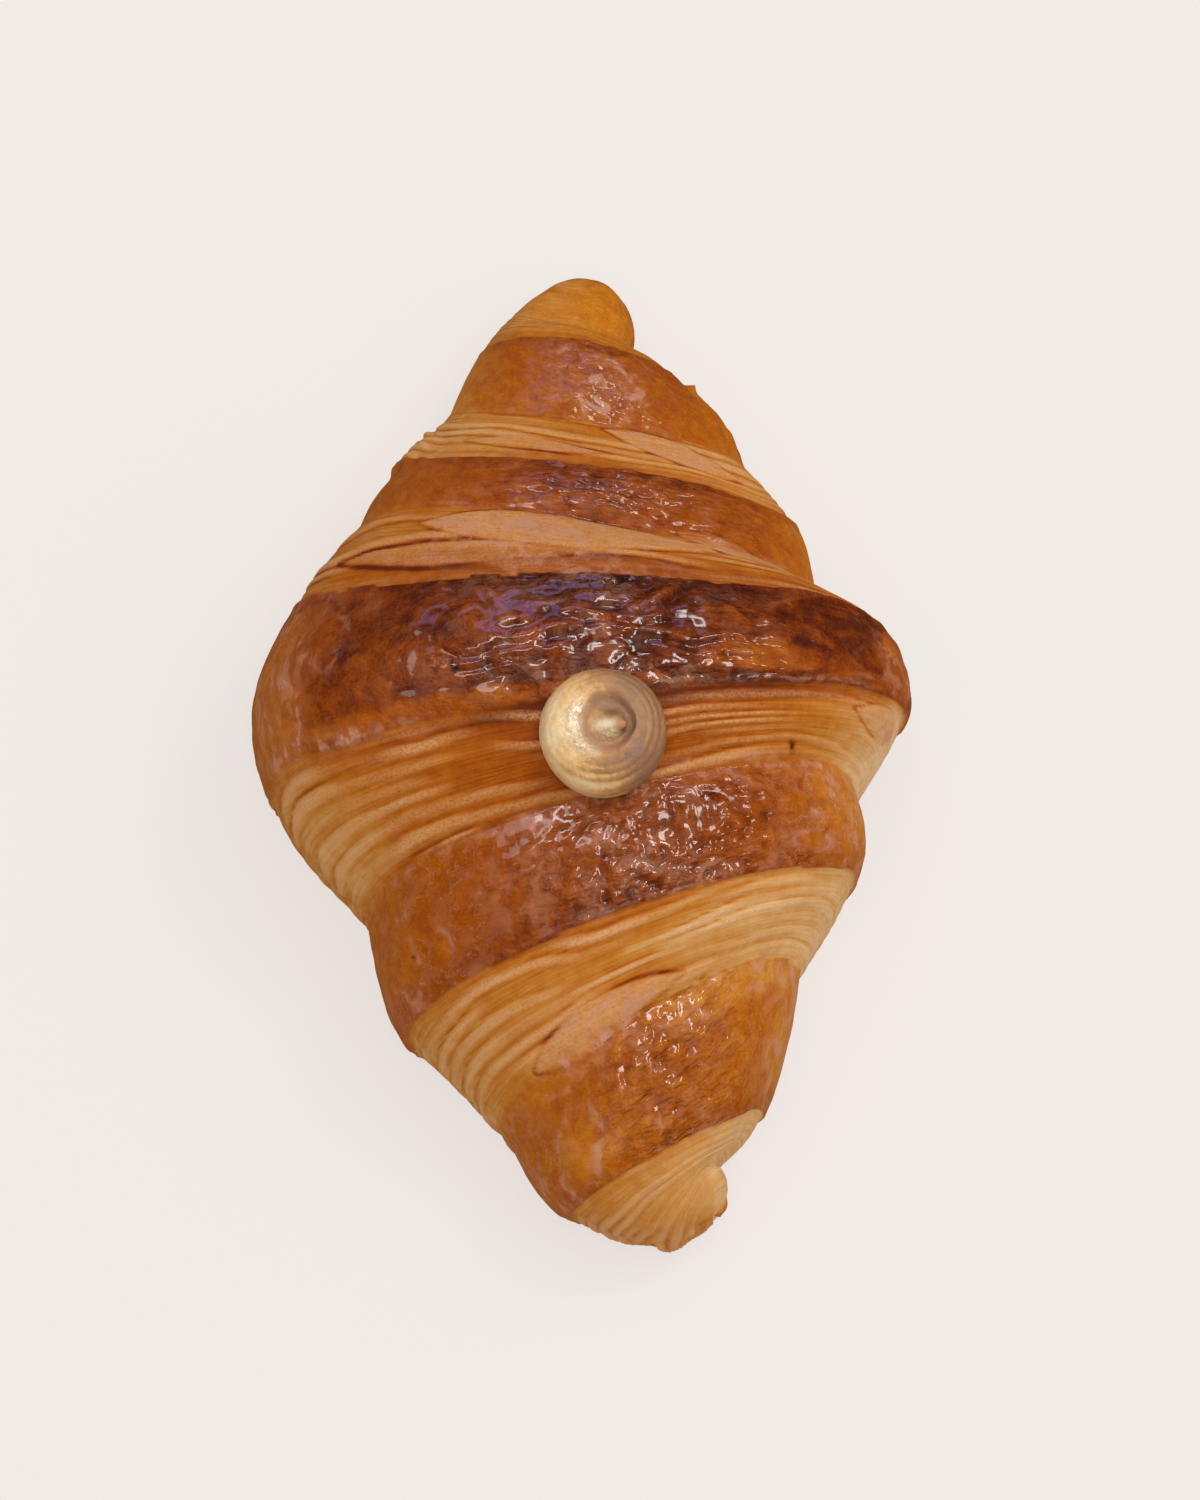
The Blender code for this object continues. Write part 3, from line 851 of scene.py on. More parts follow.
    def at(self, number: np.ndarray, angle: np.ndarray, across: np.ndarray, spot: np.ndarray) -> Surface:
        """The surface at points of the roll.

        Args:
            number: border number of each point.
            angle: angle from the crown in radians.
            across: distance from the crown along the ring, in millimetres.
            spot: the points themselves, in millimetres.

        Returns:
            The surface, with its relief in millimetres.
        """
        degrees = crown_degrees(angle)
        along = number * self.along_step
        uneven = self.unevenness(across, along, spot)
        wide, small = self.border_wobble
        wobble = wide * Grain(Seed.BORDER).soft(laid_out(across, along, self.border_size))
        wobble += small * Grain(Seed.BORDER_FINE).soft(laid_out(across, along, self.border_fine_size))
        nudged = number + wobble
        zone = np.clip(np.floor(nudged), FIRST_TURN, LAST_TURN).astype(int)
        past = nudged - zone
        names = ("height", "fine", "browning", "bloom_and_sheen", "groove", "shine", "film")
        fields = {name: np.zeros(number.shape) for name in names}
        for key, turn in TURNS.items():
            here = zone == key
            if not here.any():
                continue
            if turn.kind is Kind.SKIN:
                strip = self.skin_strip(turn, np.clip(past, 0.0, 1.0), degrees, uneven)
            else:
                strip = self.cut_strip(key, past, angle, across, uneven)
            for name in names:
                fields[name] = np.where(here, strip[name], fields[name])
        for flake in FLAKES:
            self.lay_flake(flake, nudged, degrees, fields)
        for patch in PATCHES:
            self.lay_patch(patch, number, degrees, uneven, fields)

        beyond = np.maximum(BORDERS[0].number - number, number - BORDERS[-1].number)
        nub = np.clip(beyond / self.nub_length, 0.0, 1.0)
        depth = self.depth(number)
        height = fields["height"] * (1.0 - nub**0.6) * depth * self.calm(number, angle)
        height += self.lump * self.lumps(number, angle)
        height += fields["fine"] * (0.35 + 0.65 * depth / self.middle_relief)
        return Surface(
            height=height,
            edge=self.signed_edge(nudged, uneven.lump),
            browning=fields["browning"],
            bloom_and_sheen=np.clip(fields["bloom_and_sheen"], 0.0, 1.0),
            groove=fields["groove"],
            shine=fields["shine"],
            film=fields["film"],
        )

    def lay_flake(
        self, flake: Flake, number: np.ndarray, degrees: np.ndarray, fields: dict[str, np.ndarray]
    ) -> None:
        """Lays one loose flake over the layers.

        Args:
            flake: the flake.
            number: border number of each point.
            degrees: degrees from the crown.
            fields: the surface's fields by name, which get the flake.
        """
        place = (degrees - flake.turn) / flake.spread
        centre = flake.number + flake.slant * (degrees - flake.turn)
        reach = flake.half * np.clip(1.0 - place**2, 0.0, None) - np.abs(number - centre)
        reach = np.where(np.abs(place) < 1.0, reach, -0.1) * self.along_step
        inside = ease(reach, 0.0, self.flake_blend)
        broken = Grain(Seed.FLAKE_SHADOW).soft(stack(degrees / 14.0, number, 0.0))
        # Painted shadow along the flake's lifted edge, broken in places.
        shade_line = bell(reach, 0.0, self.flake_shadow_width) * (0.35 + 0.65 * ease(broken, -0.5, 0.4))
        speckle = Grain(Seed.FLAKE_GRAIN).soft(stack(degrees * 1.1, number * self.along_step / 0.7, 0.0))
        lifted = flake.lift * inside + self.speckle_lift * speckle * inside
        paled = (0.62 + 0.25 * speckle) * flake.pale * inside
        evened = (0.50 - fields["browning"]) * flake.pale * 0.5 * inside
        fields["fine"] = fields["fine"] * (1.0 - 0.8 * inside) + lifted
        fields["groove"] = fields["groove"] * (1.0 - 0.9 * inside) + paled - 0.62 * shade_line
        fields["browning"] = fields["browning"] + evened + 0.10 * shade_line
        fields["bloom_and_sheen"] = fields["bloom_and_sheen"] + 0.70 * flake.pale * inside

    def lay_patch(
        self,
        patch: Patch,
        number: np.ndarray,
        degrees: np.ndarray,
        uneven: Unevenness,
        fields: dict[str, np.ndarray],
    ) -> None:
        """Bakes one patch darker, lighter or paler.

        Args:
            patch: the patch.
            number: border number of each point.
            degrees: degrees from the crown.
            uneven: the surface's unevenness.
            fields: the surface's fields by name, which get the patch.
        """
        away = ((number - patch.number) / patch.half) ** 2
        reach = 1.0 - away - ((degrees - patch.turn) / patch.spread) ** 2
        weight = ease(reach + 0.35 * uneven.lump, -0.6, 0.7)
        blotchy = 0.6 + 0.5 * uneven.lump + 0.4 * uneven.dome
        fields["browning"] = fields["browning"] + patch.browning * weight
        fields["bloom_and_sheen"] = fields["bloom_and_sheen"] + patch.bloom_and_sheen * weight * blotchy

    def signed_edge(self, number: np.ndarray, ragged: np.ndarray) -> np.ndarray:
        """How far inside the glazed skin a point is.

        Args:
            number: border number of each point.
            ragged: unevenness from -1 to 1 that moves the soft borders.

        Returns:
            The distance in widths of the border's blend, negative on a cut edge. Skin and cut edge run into
            one another softly at a crease.
        """
        nearest = np.full(number.shape, 99.0)
        for border in range(LAST_TURN + 1):
            skin_follows = TURNS[border].kind is Kind.SKIN
            away = (number - border) * self.along_step * (1.0 if skin_follows else -1.0)
            if border in CREASES:
                away = (away + self.crease_raggedness * ragged) / self.crease_blend
            else:
                away = away / self.edge_blend
            nearest = np.where(np.clip(np.round(number), 0, LAST_TURN) == border, away, nearest)
        return nearest


@dataclass(frozen=True)
class Lay:
    """Lays shader nodes in one tree and joins them. Values given to it are numbers, tuples or sockets."""

    tree: bpy.types.NodeTree

    def add(self, kind: str, **settings: object) -> bpy.types.Node:
        """Lays a new node.

        Args:
            kind: the node's type.
            **settings: its settings by name.

        Returns:
            The node.
        """
        node = self.tree.nodes.new(kind)
        for name, value in settings.items():
            setattr(node, name, value)
        return node

    def put(self, value: object, socket: bpy.types.NodeSocket) -> None:
        """Joins a socket to another, or sets its value.

        Args:
            value: the socket or the value to put.
            socket: where it goes.
        """
        if isinstance(value, bpy.types.NodeSocket):
            self.tree.links.new(value, socket)
        else:
            socket.default_value = value

    def sum(self, how: str, *values: object, clamp: bool = False) -> bpy.types.NodeSocket:
        """A Math node.

        Args:
            how: its operation.
            *values: its values in order.
            clamp: whether the result stays from 0 to 1.

        Returns:
            The result.
        """
        node = self.add("ShaderNodeMath", operation=how, use_clamp=clamp)
        for value, socket in zip(values, node.inputs):
            self.put(value, socket)
        return node.outputs[0]

    def plus(self, first: object, second: object) -> bpy.types.NodeSocket:
        """The sum of two values."""
        return self.sum("ADD", first, second)

    def minus(self, first: object, second: object) -> bpy.types.NodeSocket:
        """The first value less the second."""
        return self.sum("SUBTRACT", first, second)

    def times(self, first: object, second: object, clamp: bool = False) -> bpy.types.NodeSocket:
        """The product of two values."""
        return self.sum("MULTIPLY", first, second, clamp=clamp)

    def swing(self, mask: object, width: float) -> bpy.types.NodeSocket:
        """A mask from 0 to 1 as an amount around zero that swings over a width."""
        return self.times(self.minus(mask, 0.5), width)

    def span(
        self, value: object, low: object, high: object, start: float = 0.0, end: float = 1.0
    ) -> bpy.types.NodeSocket:
        """Carries a value softly from one span to another.

        Args:
            value: the value.
            low: where the first span starts.
            high: where it ends.
            start: what low becomes.
            end: what high becomes.

        Returns:
            The value in the second span.
        """
        node = self.add("ShaderNodeMapRange", interpolation_type="SMOOTHSTEP")
        for socket, given in zip(node.inputs, (value, low, high, start, end)):
            self.put(given, socket)
        return node.outputs[0]

    def blend(self, share: object, first: object, second: object) -> bpy.types.NodeSocket:
        """Mixes two colours.

        Args:
            share: how much of the second is in the mix.
            first: one colour.
            second: the other colour.

        Returns:
            The mixed colour.
        """
        node = self.add("ShaderNodeMix", data_type="RGBA", clamp_factor=True)
        for value, place in ((share, 0), (first, 6), (second, 7)):
            self.put(value, node.inputs[place])
        return node.outputs[2]

    def ramp(self, value: object, stops: tuple) -> bpy.types.NodeSocket:
        """Colours a value by a ramp.

        Args:
            value: the value.
            stops: pairs of value and display colour. The ramp ends at the last one's value, even past 1.

        Returns:
            The colour.
        """
        full = stops[-1][0]
        node = self.add("ShaderNodeValToRGB")
        elements = node.color_ramp.elements
        while len(elements) < len(stops):
            elements.new(0.5)
        for element, (place, colour) in zip(elements, stops):
            element.position = place / full
            element.color = tone(*colour)
        self.put(value if full == 1.0 else self.sum("DIVIDE", value, full), node.inputs[0])
        return node.outputs[0]

    def mask(self, name: str) -> bpy.types.NodeSocket:
        """A number that the mesh keeps for each point."""
        return self.add("ShaderNodeAttribute", attribute_name=name).outputs["Fac"]

    def scaled(self, place: object, by: tuple[float, float, float]) -> bpy.types.NodeSocket:
        """Stretches a place along its axes.

        Args:
            place: the place.
            by: what each axis is multiplied by.

        Returns:
            The stretched place.
        """
        node = self.add("ShaderNodeVectorMath", operation="MULTIPLY")
        self.put(place, node.inputs[0])
        self.put(by, node.inputs[1])
        return node.outputs[0]

    def noise(
        self, place: object, size: object, detail: float, rough: float, warp: float = 0.0
    ) -> bpy.types.NodeSocket:
        """Noise from 0 to 1.

        Args:
            place: where it is read.
            size: how many lumps there are to a unit of place.
            detail: how many sizes of lump there are.
            rough: how strong the finer ones are.
            warp: how far the lumps are pulled about.

        Returns:
            The noise.
        """
        node = self.add("ShaderNodeTexNoise")
        names = ("Vector", "Scale", "Detail", "Roughness", "Distortion")
        for name, value in zip(names, (place, size, detail, rough, warp)):
            self.put(value, node.inputs[name])
        return node.outputs[0]

    def bumped(self, height: object, shader: bpy.types.Node) -> None:
        """Gives a shader relief.

        Args:
            height: the relief in millimetres.
            shader: the shader.
        """
        bump = self.add("ShaderNodeBump")
        bump.inputs["Distance"].default_value = MM
        self.put(height, bump.inputs["Height"])
        self.put(bump.outputs[0], shader.inputs["Normal"])


def node_group(name: str, takes: tuple, gives: tuple) -> tuple[Lay, dict, dict]:
    """A new shader node group.

    Args:
        name: its name.
        takes: pairs of name and socket kind that it takes.
        gives: pairs of name and socket kind that it gives.

    Returns:
        A Lay on its tree, its input sockets by name and its output sockets by name.
    """
    tree = bpy.data.node_groups.new(name, "ShaderNodeTree")
    for label, kind in takes:
        tree.interface.new_socket(name=label, in_out="INPUT", socket_type=kind)
    for label, kind in gives:
        tree.interface.new_socket(name=label, in_out="OUTPUT", socket_type=kind)
    lay = Lay(tree)
    start, end = lay.add("NodeGroupInput"), lay.add("NodeGroupOutput")
    return lay, {n: start.outputs[n] for n, _ in takes}, {n: end.inputs[n] for n, _ in gives}


VALUE, COLOUR, VECTOR = "NodeSocketFloat", "NodeSocketColor", "NodeSocketVector"


def mottle_group() -> bpy.types.NodeTree:
    """Soft mottling of a chosen size, for crust and cream.

    Returns:
        The group. It takes a place, the lumps to a unit, and the span of noise that goes from 0 to 1.
    """
    takes = (("Place", VECTOR), ("Per Unit", VALUE), ("From", VALUE), ("To", VALUE))
    lay, given, gives = node_group("mottle", takes, (("Mask", VALUE),))
    noise = lay.noise(given["Place"], given["Per Unit"], 6.0, 0.68)
    lay.put(lay.span(noise, given["From"], given["To"]), gives["Mask"])
    return lay.tree


def placed(lay: Lay, group: bpy.types.NodeTree, **values: object) -> bpy.types.NodeSocket:
    """Places a node group.

    Args:
        lay: the tree that it is placed in.
        group: the group.
        **values: its inputs by name, with underscores for spaces.

    Returns:
        What it gives.
    """
    node = lay.add("ShaderNodeGroup", node_tree=group)
    for name, value in values.items():
        lay.put(value, node.inputs[name.replace("_", " ")])
    return node.outputs[0]


def fresh_material(name: str) -> tuple[bpy.types.Material, Lay, bpy.types.Node]:
    """Starts a material.

    Args:
        name: its name.

    Returns:
        The material, a Lay on its tree, and its shader.
    """
    made = bpy.data.materials.new(name)
    made.use_nodes = True
    return made, Lay(made.node_tree), made.node_tree.nodes["Principled BSDF"]


@dataclass(frozen=True)
class CrustFinish:
    """Egg-glazed skin and pale cut edges of a baked crust, with painted shade in the gaps and troughs between
    the leaves.

    Stops are pairs of browning and display colour. Stretches turn millimetres across, up and along into
    lumps, and lifts are in millimetres.
    """

    skin_stops: tuple = (
        (0.0, (226, 170, 82)),
        (0.18, (216, 148, 44)),
        (0.36, (197, 116, 18)),
        (0.50, (182, 97, 6)),
        (0.64, (165, 79, 3)),
        (0.76, (150, 67, 3)),
        (0.88, (124, 50, 3)),
        (1.0, (92, 32, 6)),
        (1.3, (34, 9, 8)),
    )
    cut_stops: tuple = (
        (0.0, (240, 202, 150)),
        (0.20, (224, 170, 104)),
        (0.40, (205, 134, 54)),
        (0.58, (188, 104, 18)),
        (0.76, (160, 74, 4)),
        (1.0, (104, 38, 4)),
    )
    # Colour of the pale film and of the painted sheen over the glaze.
    bloom_and_sheen_colour: tuple = (206, 146, 116)
    crest_colour: tuple = (224, 166, 112)
    mottle_span: tuple[float, float] = (0.32, 0.70)
    mottle_swing: float = 0.16
    fleck_span: tuple[float, float] = (0.34, 0.66)
    fleck_swing: float = 0.12
    streak_swing: float = 0.62
    # Painted shade on the gaps between leaves and in the troughs.
    gap_shade: float = 0.50
    trough_shade: float = 0.16
    veil_span: tuple[float, float] = (0.47, 0.62)
    veil_rim: tuple[float, float] = (0.49, 0.020)
    veil_strength: float = 0.18
    fold_stretch: tuple[float, float, float] = (0.17, 0.6, 0.60)
    fold_lift: float = -2.2
    crinkle_stretch: tuple[float, float, float] = (0.50, 0.9, 1.25)
    crinkle_lift: float = -0.7
    streak_stretch: tuple[float, float, float] = (0.07, 0.0, 1.9)
    streak_lift: float = 0.16
    cloud_stretch: tuple[float, float, float] = (0.26, 0.24, 0.36)
    pores_per_metre: float = 1500.0
    grains_per_metre: float = 1900.0
    grain_lift: float = 0.11
    mottles_per_metre: float = 420.0
    flecks_per_metre: float = 2300.0
    ragged_edge: float = 1.6
    matt_roughness: float = 0.55
    coat_roughness: float = 0.09
    coat: float = 0.9
    reflection: float = 0.10
    refraction: float = 1.42

    def colour_group(self) -> bpy.types.NodeTree:
        """Colour of the bake, with painted shade between the leaves and a painted sheen in the bloom.

        Returns:
            The group. All that it takes are masks.
        """
        names = ("Skin", "Browning", "Bloom", "Film", "Groove", "Streak", "Mottle", "Fleck", "Cloud")
        lay, given, gives = node_group("baked_colour", tuple((n, VALUE) for n in names), (("Color", COLOUR),))
        mottled = lay.swing(given["Mottle"], self.mottle_swing)
        flecked = lay.swing(given["Fleck"], self.fleck_swing)
        skin = lay.ramp(lay.plus(lay.plus(given["Browning"], mottled), flecked), self.skin_stops)

        # Painted shade on the gaps between leaves and in the troughs, lighter on the crests.
        painted_gap_shade = lay.times(lay.times(given["Groove"], -1.0, clamp=True), self.gap_shade)
        painted_trough_shade = lay.times(lay.minus(0.28, given["Groove"]), self.trough_shade)
        cut_browning = lay.plus(given["Browning"], lay.swing(given["Streak"], self.streak_swing))
        cut_browning = lay.plus(cut_browning, lay.plus(painted_gap_shade, painted_trough_shade))
        cut_browning = lay.plus(cut_browning, lay.times(mottled, 0.6))
        crest = lay.times(given["Groove"], lay.span(given["Fleck"], 0.0, 0.9, 0.32, 1.0), clamp=True)
        cut = lay.blend(crest, lay.ramp(cut_browning, self.cut_stops), tone(*self.crest_colour))
        base = lay.blend(given["Skin"], cut, skin)

        veil = lay.span(given["Cloud"], *self.veil_span)
        level, width = self.veil_rim
        rim = lay.span(lay.sum("ABSOLUTE", lay.minus(given["Cloud"], level)), 0.0, width, 1.0, 0.0)
        rim = lay.times(rim, lay.span(given["Streak"], 0.4, 0.6, 0.25, 0.85))
        # Pale film and painted sheen from the bloom, broken up by the clouds.
        hazy = lay.times(given["Bloom"], lay.span(veil, 0.0, 1.0, 0.18, 1.30))
        filmed = lay.times(given["Film"], lay.plus(rim, lay.times(veil, self.veil_strength)))
        filmed = lay.times(filmed, given["Skin"])
        share = lay.times(lay.plus(hazy, filmed), lay.span(given["Fleck"], 0.0, 0.8, 0.55, 1.0))
        share = lay.times(share, 0.9, clamp=True)
        lay.put(lay.blend(share, base, tone(*self.bloom_and_sheen_colour)), gives["Color"])
        return lay.tree

    def relief_group(self) -> bpy.types.NodeTree:
        """Finest relief: crinkles of the skin, threads and grain of the cut edge.

        Returns:
            The group. It gives a height in millimetres.
        """
        takes = (("Skin", VALUE), ("Shine", VALUE), ("Flow", VECTOR), ("Place", VECTOR), ("Streak", VALUE))
        lay, given, gives = node_group("baked_relief", takes, (("Height", VALUE),))
        ridges = []
        folds = (self.fold_stretch, 0.5, self.fold_lift)
        crinkles = (self.crinkle_stretch, 0.55, self.crinkle_lift)
        for stretch, rough, lift in (folds, crinkles):
            ridge = lay.minus(lay.noise(lay.scaled(given["Flow"], stretch), 1.0, 2.0, rough), 0.5)
            ridges.append(lay.times(lay.sum("ABSOLUTE", ridge), lift))
        folded = lay.times(lay.plus(*ridges), lay.span(given["Shine"], 0.2, 1.1, 0.03, 1.0))
        pores = lay.noise(given["Place"], self.pores_per_metre, 2.0, 0.6)
        skin = lay.plus(folded, lay.times(pores, lay.span(given["Shine"], 0.2, 1.0, 0.04, 0.15)))
        grain = lay.times(lay.noise(given["Place"], self.grains_per_metre, 3.0, 0.7), self.grain_lift)
        cut = lay.plus(lay.times(given["Streak"], self.streak_lift), grain)
        height = lay.add("ShaderNodeMix", data_type="FLOAT")
        for value, place in ((given["Skin"], 0), (cut, 2), (skin, 3)):
            lay.put(value, height.inputs[place])
        lay.put(height.outputs[0], gives["Height"])
        return lay.tree

    def material(self, mottle: bpy.types.NodeTree) -> bpy.types.Material:
        """The crust's material.

        Args:
            mottle: the group that mottles crust and cream.

        Returns:
            The material.
        """
        made, lay, shader = fresh_material("egg_glazed_crust")
        place = lay.add("ShaderNodeTexCoord").outputs["Object"]
        flow = lay.add("ShaderNodeAttribute", attribute_name="flow").outputs["Vector"]
        ragged = lay.swing(lay.noise(place, 900.0, 3.0, 0.6), self.ragged_edge)
        skin = lay.span(lay.plus(lay.mask("edge"), ragged), -1.0, 1.0)
        skin = lay.sum("MAXIMUM", skin, lay.mask("skin_like"))
        streak = lay.noise(lay.scaled(flow, self.streak_stretch), 1.0, 4.0, 0.65)
        start, end = self.mottle_span
        mottling = placed(lay, mottle, Place=place, Per_Unit=self.mottles_per_metre, From=start, To=end)
        start, end = self.fleck_span
        flecks = placed(lay, mottle, Place=place, Per_Unit=self.flecks_per_metre, From=start, To=end)
        shine = lay.mask("shine")
        colour = placed(
            lay,
            self.colour_group(),
            Skin=skin,
            Browning=lay.mask("browning"),
            Bloom=lay.mask("bloom_and_sheen"),
            Film=lay.mask("film"),
            Groove=lay.mask("groove"),
            Streak=streak,
            Mottle=mottling,
            Fleck=flecks,
            Cloud=lay.noise(lay.scaled(flow, self.cloud_stretch), 1.0, 4.0, 0.60, warp=0.6),
        )
        lay.put(colour, shader.inputs["Base Color"])
        relief = self.relief_group()
        lay.bumped(placed(lay, relief, Skin=skin, Shine=shine, Flow=flow, Place=place, Streak=streak), shader)
        wet = lay.times(skin, lay.span(shine, 0.25, 1.0))
        matt = lay.sum("MULTIPLY_ADD", wet, -0.30, self.matt_roughness)
        lay.put(lay.sum("MULTIPLY_ADD", mottling, 0.12, matt), shader.inputs["Roughness"])
        lay.put(lay.times(wet, self.coat), shader.inputs["Coat Weight"])
        shader.inputs["Specular IOR Level"].default_value = self.reflection
        shader.inputs["Coat Roughness"].default_value = self.coat_roughness
        shader.inputs["IOR"].default_value = self.refraction
        return made


@dataclass
class Croissant:
    """The rolled, baked body."""

    roll: Roll = field(default_factory=Roll)
    bake: Bake = field(default_factory=Bake)
    finish: CrustFinish = field(default_factory=CrustFinish)
    blister_grain: float = 2.2

    @staticmethod
    def wound(number: np.ndarray, share: np.ndarray) -> np.ndarray:
        """The border number that shows where the roll winds one turn further out below.

        Args:
            number: border number of each point's ring.
            share: how far below the sides each point is wound on, from 0 at the left to 1 at the right.

        Returns:
            The number that shows.
        """
        shown = np.where(number <= 2.0, number + 2.0, 4.0 + (number - 2.0) / 5.0)
        shown = np.where(number >= 7.0, number - 2.0, shown)
        return (1.0 - share) * number + share * shown

    @staticmethod
    def walk(points: np.ndarray) -> np.ndarray:
        """Distance along each ring from the crown.

        Args:
            points: the rings' points.

        Returns:
            The distance of each point, negative to the left.
        """
        steps = np.linalg.norm(np.diff(points, axis=1, append=points[:, :1]), axis=2)
        forward = np.concatenate([np.zeros((len(points), 1)), np.cumsum(steps, axis=1)[:, :-1]], axis=1)
        total = steps.sum(axis=1, keepdims=True)
        return np.where(forward > total / 2.0, forward - total, forward)

    def surface(
        self, numbers: np.ndarray, points: np.ndarray, angle: np.ndarray
    ) -> tuple[Surface, np.ndarray]:
        """The baked surface all round.

        Args:
            numbers: border number of each ring.
            points: the rings' points.
            angle: each point's angle from the crown in radians.

        Returns:
            The surface, and each point's distance from the crown along its ring.
        """
        number = np.broadcast_to(numbers[:, None], points.shape[:2])
        round_it = np.broadcast_to(angle, number.shape)
        degrees = np.degrees(round_it)
        across = self.walk(points)
        share = (1.0 - np.cos(np.pi * np.clip((270.0 - degrees) / 180.0, 0.0, 1.0))) / 2.0
        share = np.where(degrees < 90.0, 0.0, share)
        between = (degrees > 90.0) & (degrees < 270.0)
        hidden = np.where(between, ease(degrees, 95.0, 132.0), 0.0)
        above = self.bake.at(number, round_it, across, points)
        shown = self.wound(number, share)
        underneath = self.bake.at(shown, round_it, points[..., 0] + 0.3 * points[..., 2], points)
        underneath.height = underneath.height * self.bake.depth(number) / self.bake.depth(shown)
        return above.mixed(underneath, hidden), across

    def around_spot(
        self, spot: Mark | Blister, numbers: np.ndarray, turned: np.ndarray, across: np.ndarray
    ) -> np.ndarray:
        """How far each point is from a spot.

        Args:
            spot: the mark or blister.
            numbers: border number of each ring.
            turned: each column's degrees from the crown.
            across: each point's distance from the crown along its ring.

        Returns:
            The distance as a share of the spot's half sizes.
        """
        i = int(np.argmin(np.abs(numbers - spot.number)))
        j = int(np.argmin(np.abs(turned - spot.turn)))
        aside = (across - across[i, j]) / spot.across
        along = ((numbers - spot.number) * self.bake.along_step)[:, None] / spot.along
        return np.hypot(aside, along)

    def marked(self, surface: Surface, numbers: np.ndarray, angle: np.ndarray, across: np.ndarray) -> None:
        """Adds the small sharp marks and the single blisters.

        Args:
            surface: the surface, which gets them.
            numbers: border number of each ring.
            angle: each column's angle from the crown in radians.
            across: each point's distance from the crown along its ring.
        """
        turned = crown_degrees(angle)
        for mark in MARKS:
            near = np.exp(-(self.around_spot(mark, numbers, turned, across) ** 2) * 1.4)
            surface.height += mark.height * near
            surface.browning += mark.dark * near
            surface.bloom_and_sheen *= 1.0 - near
            surface.groove -= max(mark.dark, 0.0) * near
        place = stack(across, (numbers * self.bake.along_step)[:, None], 0.0) / self.blister_grain
        uneven = Grain(Seed.BLISTERS).soft(place)
        for blister in BLISTERS:
            away = self.around_spot(blister, numbers, turned, across) + 0.22 * uneven
            inside = ease(1.0 - away, 0.0, 0.5)
            surface.height += blister.lift * ease(1.0 - away, 0.0, 0.7)
            surface.bloom_and_sheen += blister.pale * bell(away, 1.0, 0.16) * ease(uneven, -0.8, 0.2)
            surface.browning -= 0.05 * inside
            surface.film *= 1.0 - inside

    def skin_like(self, number: np.ndarray, angle: np.ndarray) -> np.ndarray:
        """How far the tips' cut edges have browned into skin.

        Args:
            number: border number of each point.
            angle: each column's angle from the crown in radians.

        Returns:
            A share for each point, 0 between the tips.
        """
        lobe = TURNS[FIRST_TURN].skin_like + 0.45 * ease(np.sin(angle), -0.4, 0.3)
        like = np.where(number < BORDERS[1].number, lobe, 0.0)
        like = np.where(number > LAST_TURN, TURNS[LAST_TURN].skin_like, like)
        return like * ease(np.abs(number - 4.5), 4.5, 4.56)

    def build(self) -> bpy.types.Object:
        """Builds and dresses the body.

        Returns:
            The piece, without its material.
        """
        numbers = self.roll.ring_numbers()
        points, angle, shrink = self.roll.form(numbers)
        normal = outward(points)
        surface, across = self.surface(numbers, points, angle)
        self.marked(surface, numbers, angle, across)
        points = points + normal * (surface.height * ease(shrink, 0.0, 0.7))[..., None]
        points[..., 2] = np.maximum(points[..., 2], 0.0)

        flat = [points[0].mean(axis=0), *points[1:-1].reshape(-1, 3), points[-1].mean(axis=0)]
        faces = tube_faces(len(numbers) - 2, self.roll.around)
        body = mesh_piece("baked_roll", np.array(flat), faces)
        number = np.broadcast_to(numbers[:, None], across.shape)
        inner = slice(1, -1)
        fields = {name: values for name, values in vars(surface).items() if name != "height"}
        fields["skin_like"] = self.skin_like(number, angle)
        for name, values in fields.items():
            put_field(body, name, ends_joined(values, inner))
        flow = (across, points[..., 2], number * self.bake.along_step)
        put_vectors(body, "flow", np.stack([ends_joined(values, inner) for values in flow], axis=-1))
        return body


def tube_faces(rings: int, around: int) -> list:
    """Faces of a tube that a point closes at either end.

    Args:
        rings: how many rings there are between the two points.
        around: how many points a ring has.

    Returns:
        The faces, the quads before the triangles at the ends.
    """
    j = np.arange(around)
    k = (j + 1) % around
    starts = (1 + np.arange(rings - 1) * around)[:, None]
    quads = np.stack([starts + j, starts + around + j, starts + around + k, starts + k], axis=-1)
    last = 1 + (rings - 1) * around
    faces = quads.reshape(-1, 4).tolist()
    faces += [(0, 1 + a, 1 + b) for a, b in zip(j.tolist(), k.tolist())]
    faces += [(last + a, last + around, last + b) for a, b in zip(j.tolist(), k.tolist())]
    return faces


def ends_joined(values: np.ndarray, rings: slice = slice(None)) -> np.ndarray:
    """A field of rings as one row for the mesh's points, between the two points at its ends."""
    return np.concatenate([[values[0].mean()], values[rings].ravel(), [values[-1].mean()]])


def put_field(piece: bpy.types.Object, name: str, values: np.ndarray) -> None:
    """Stores a number for each point of a piece."""
    made = piece.data.attributes.new(name, "FLOAT", "POINT")
    made.data.foreach_set("value", values.astype(np.float32))


def put_vectors(piece: bpy.types.Object, name: str, values: np.ndarray) -> None:
    """Stores a vector for each point of a piece."""
    made = piece.data.attributes.new(name, "FLOAT_VECTOR", "POINT")
    made.data.foreach_set("vector", values.astype(np.float32).ravel())


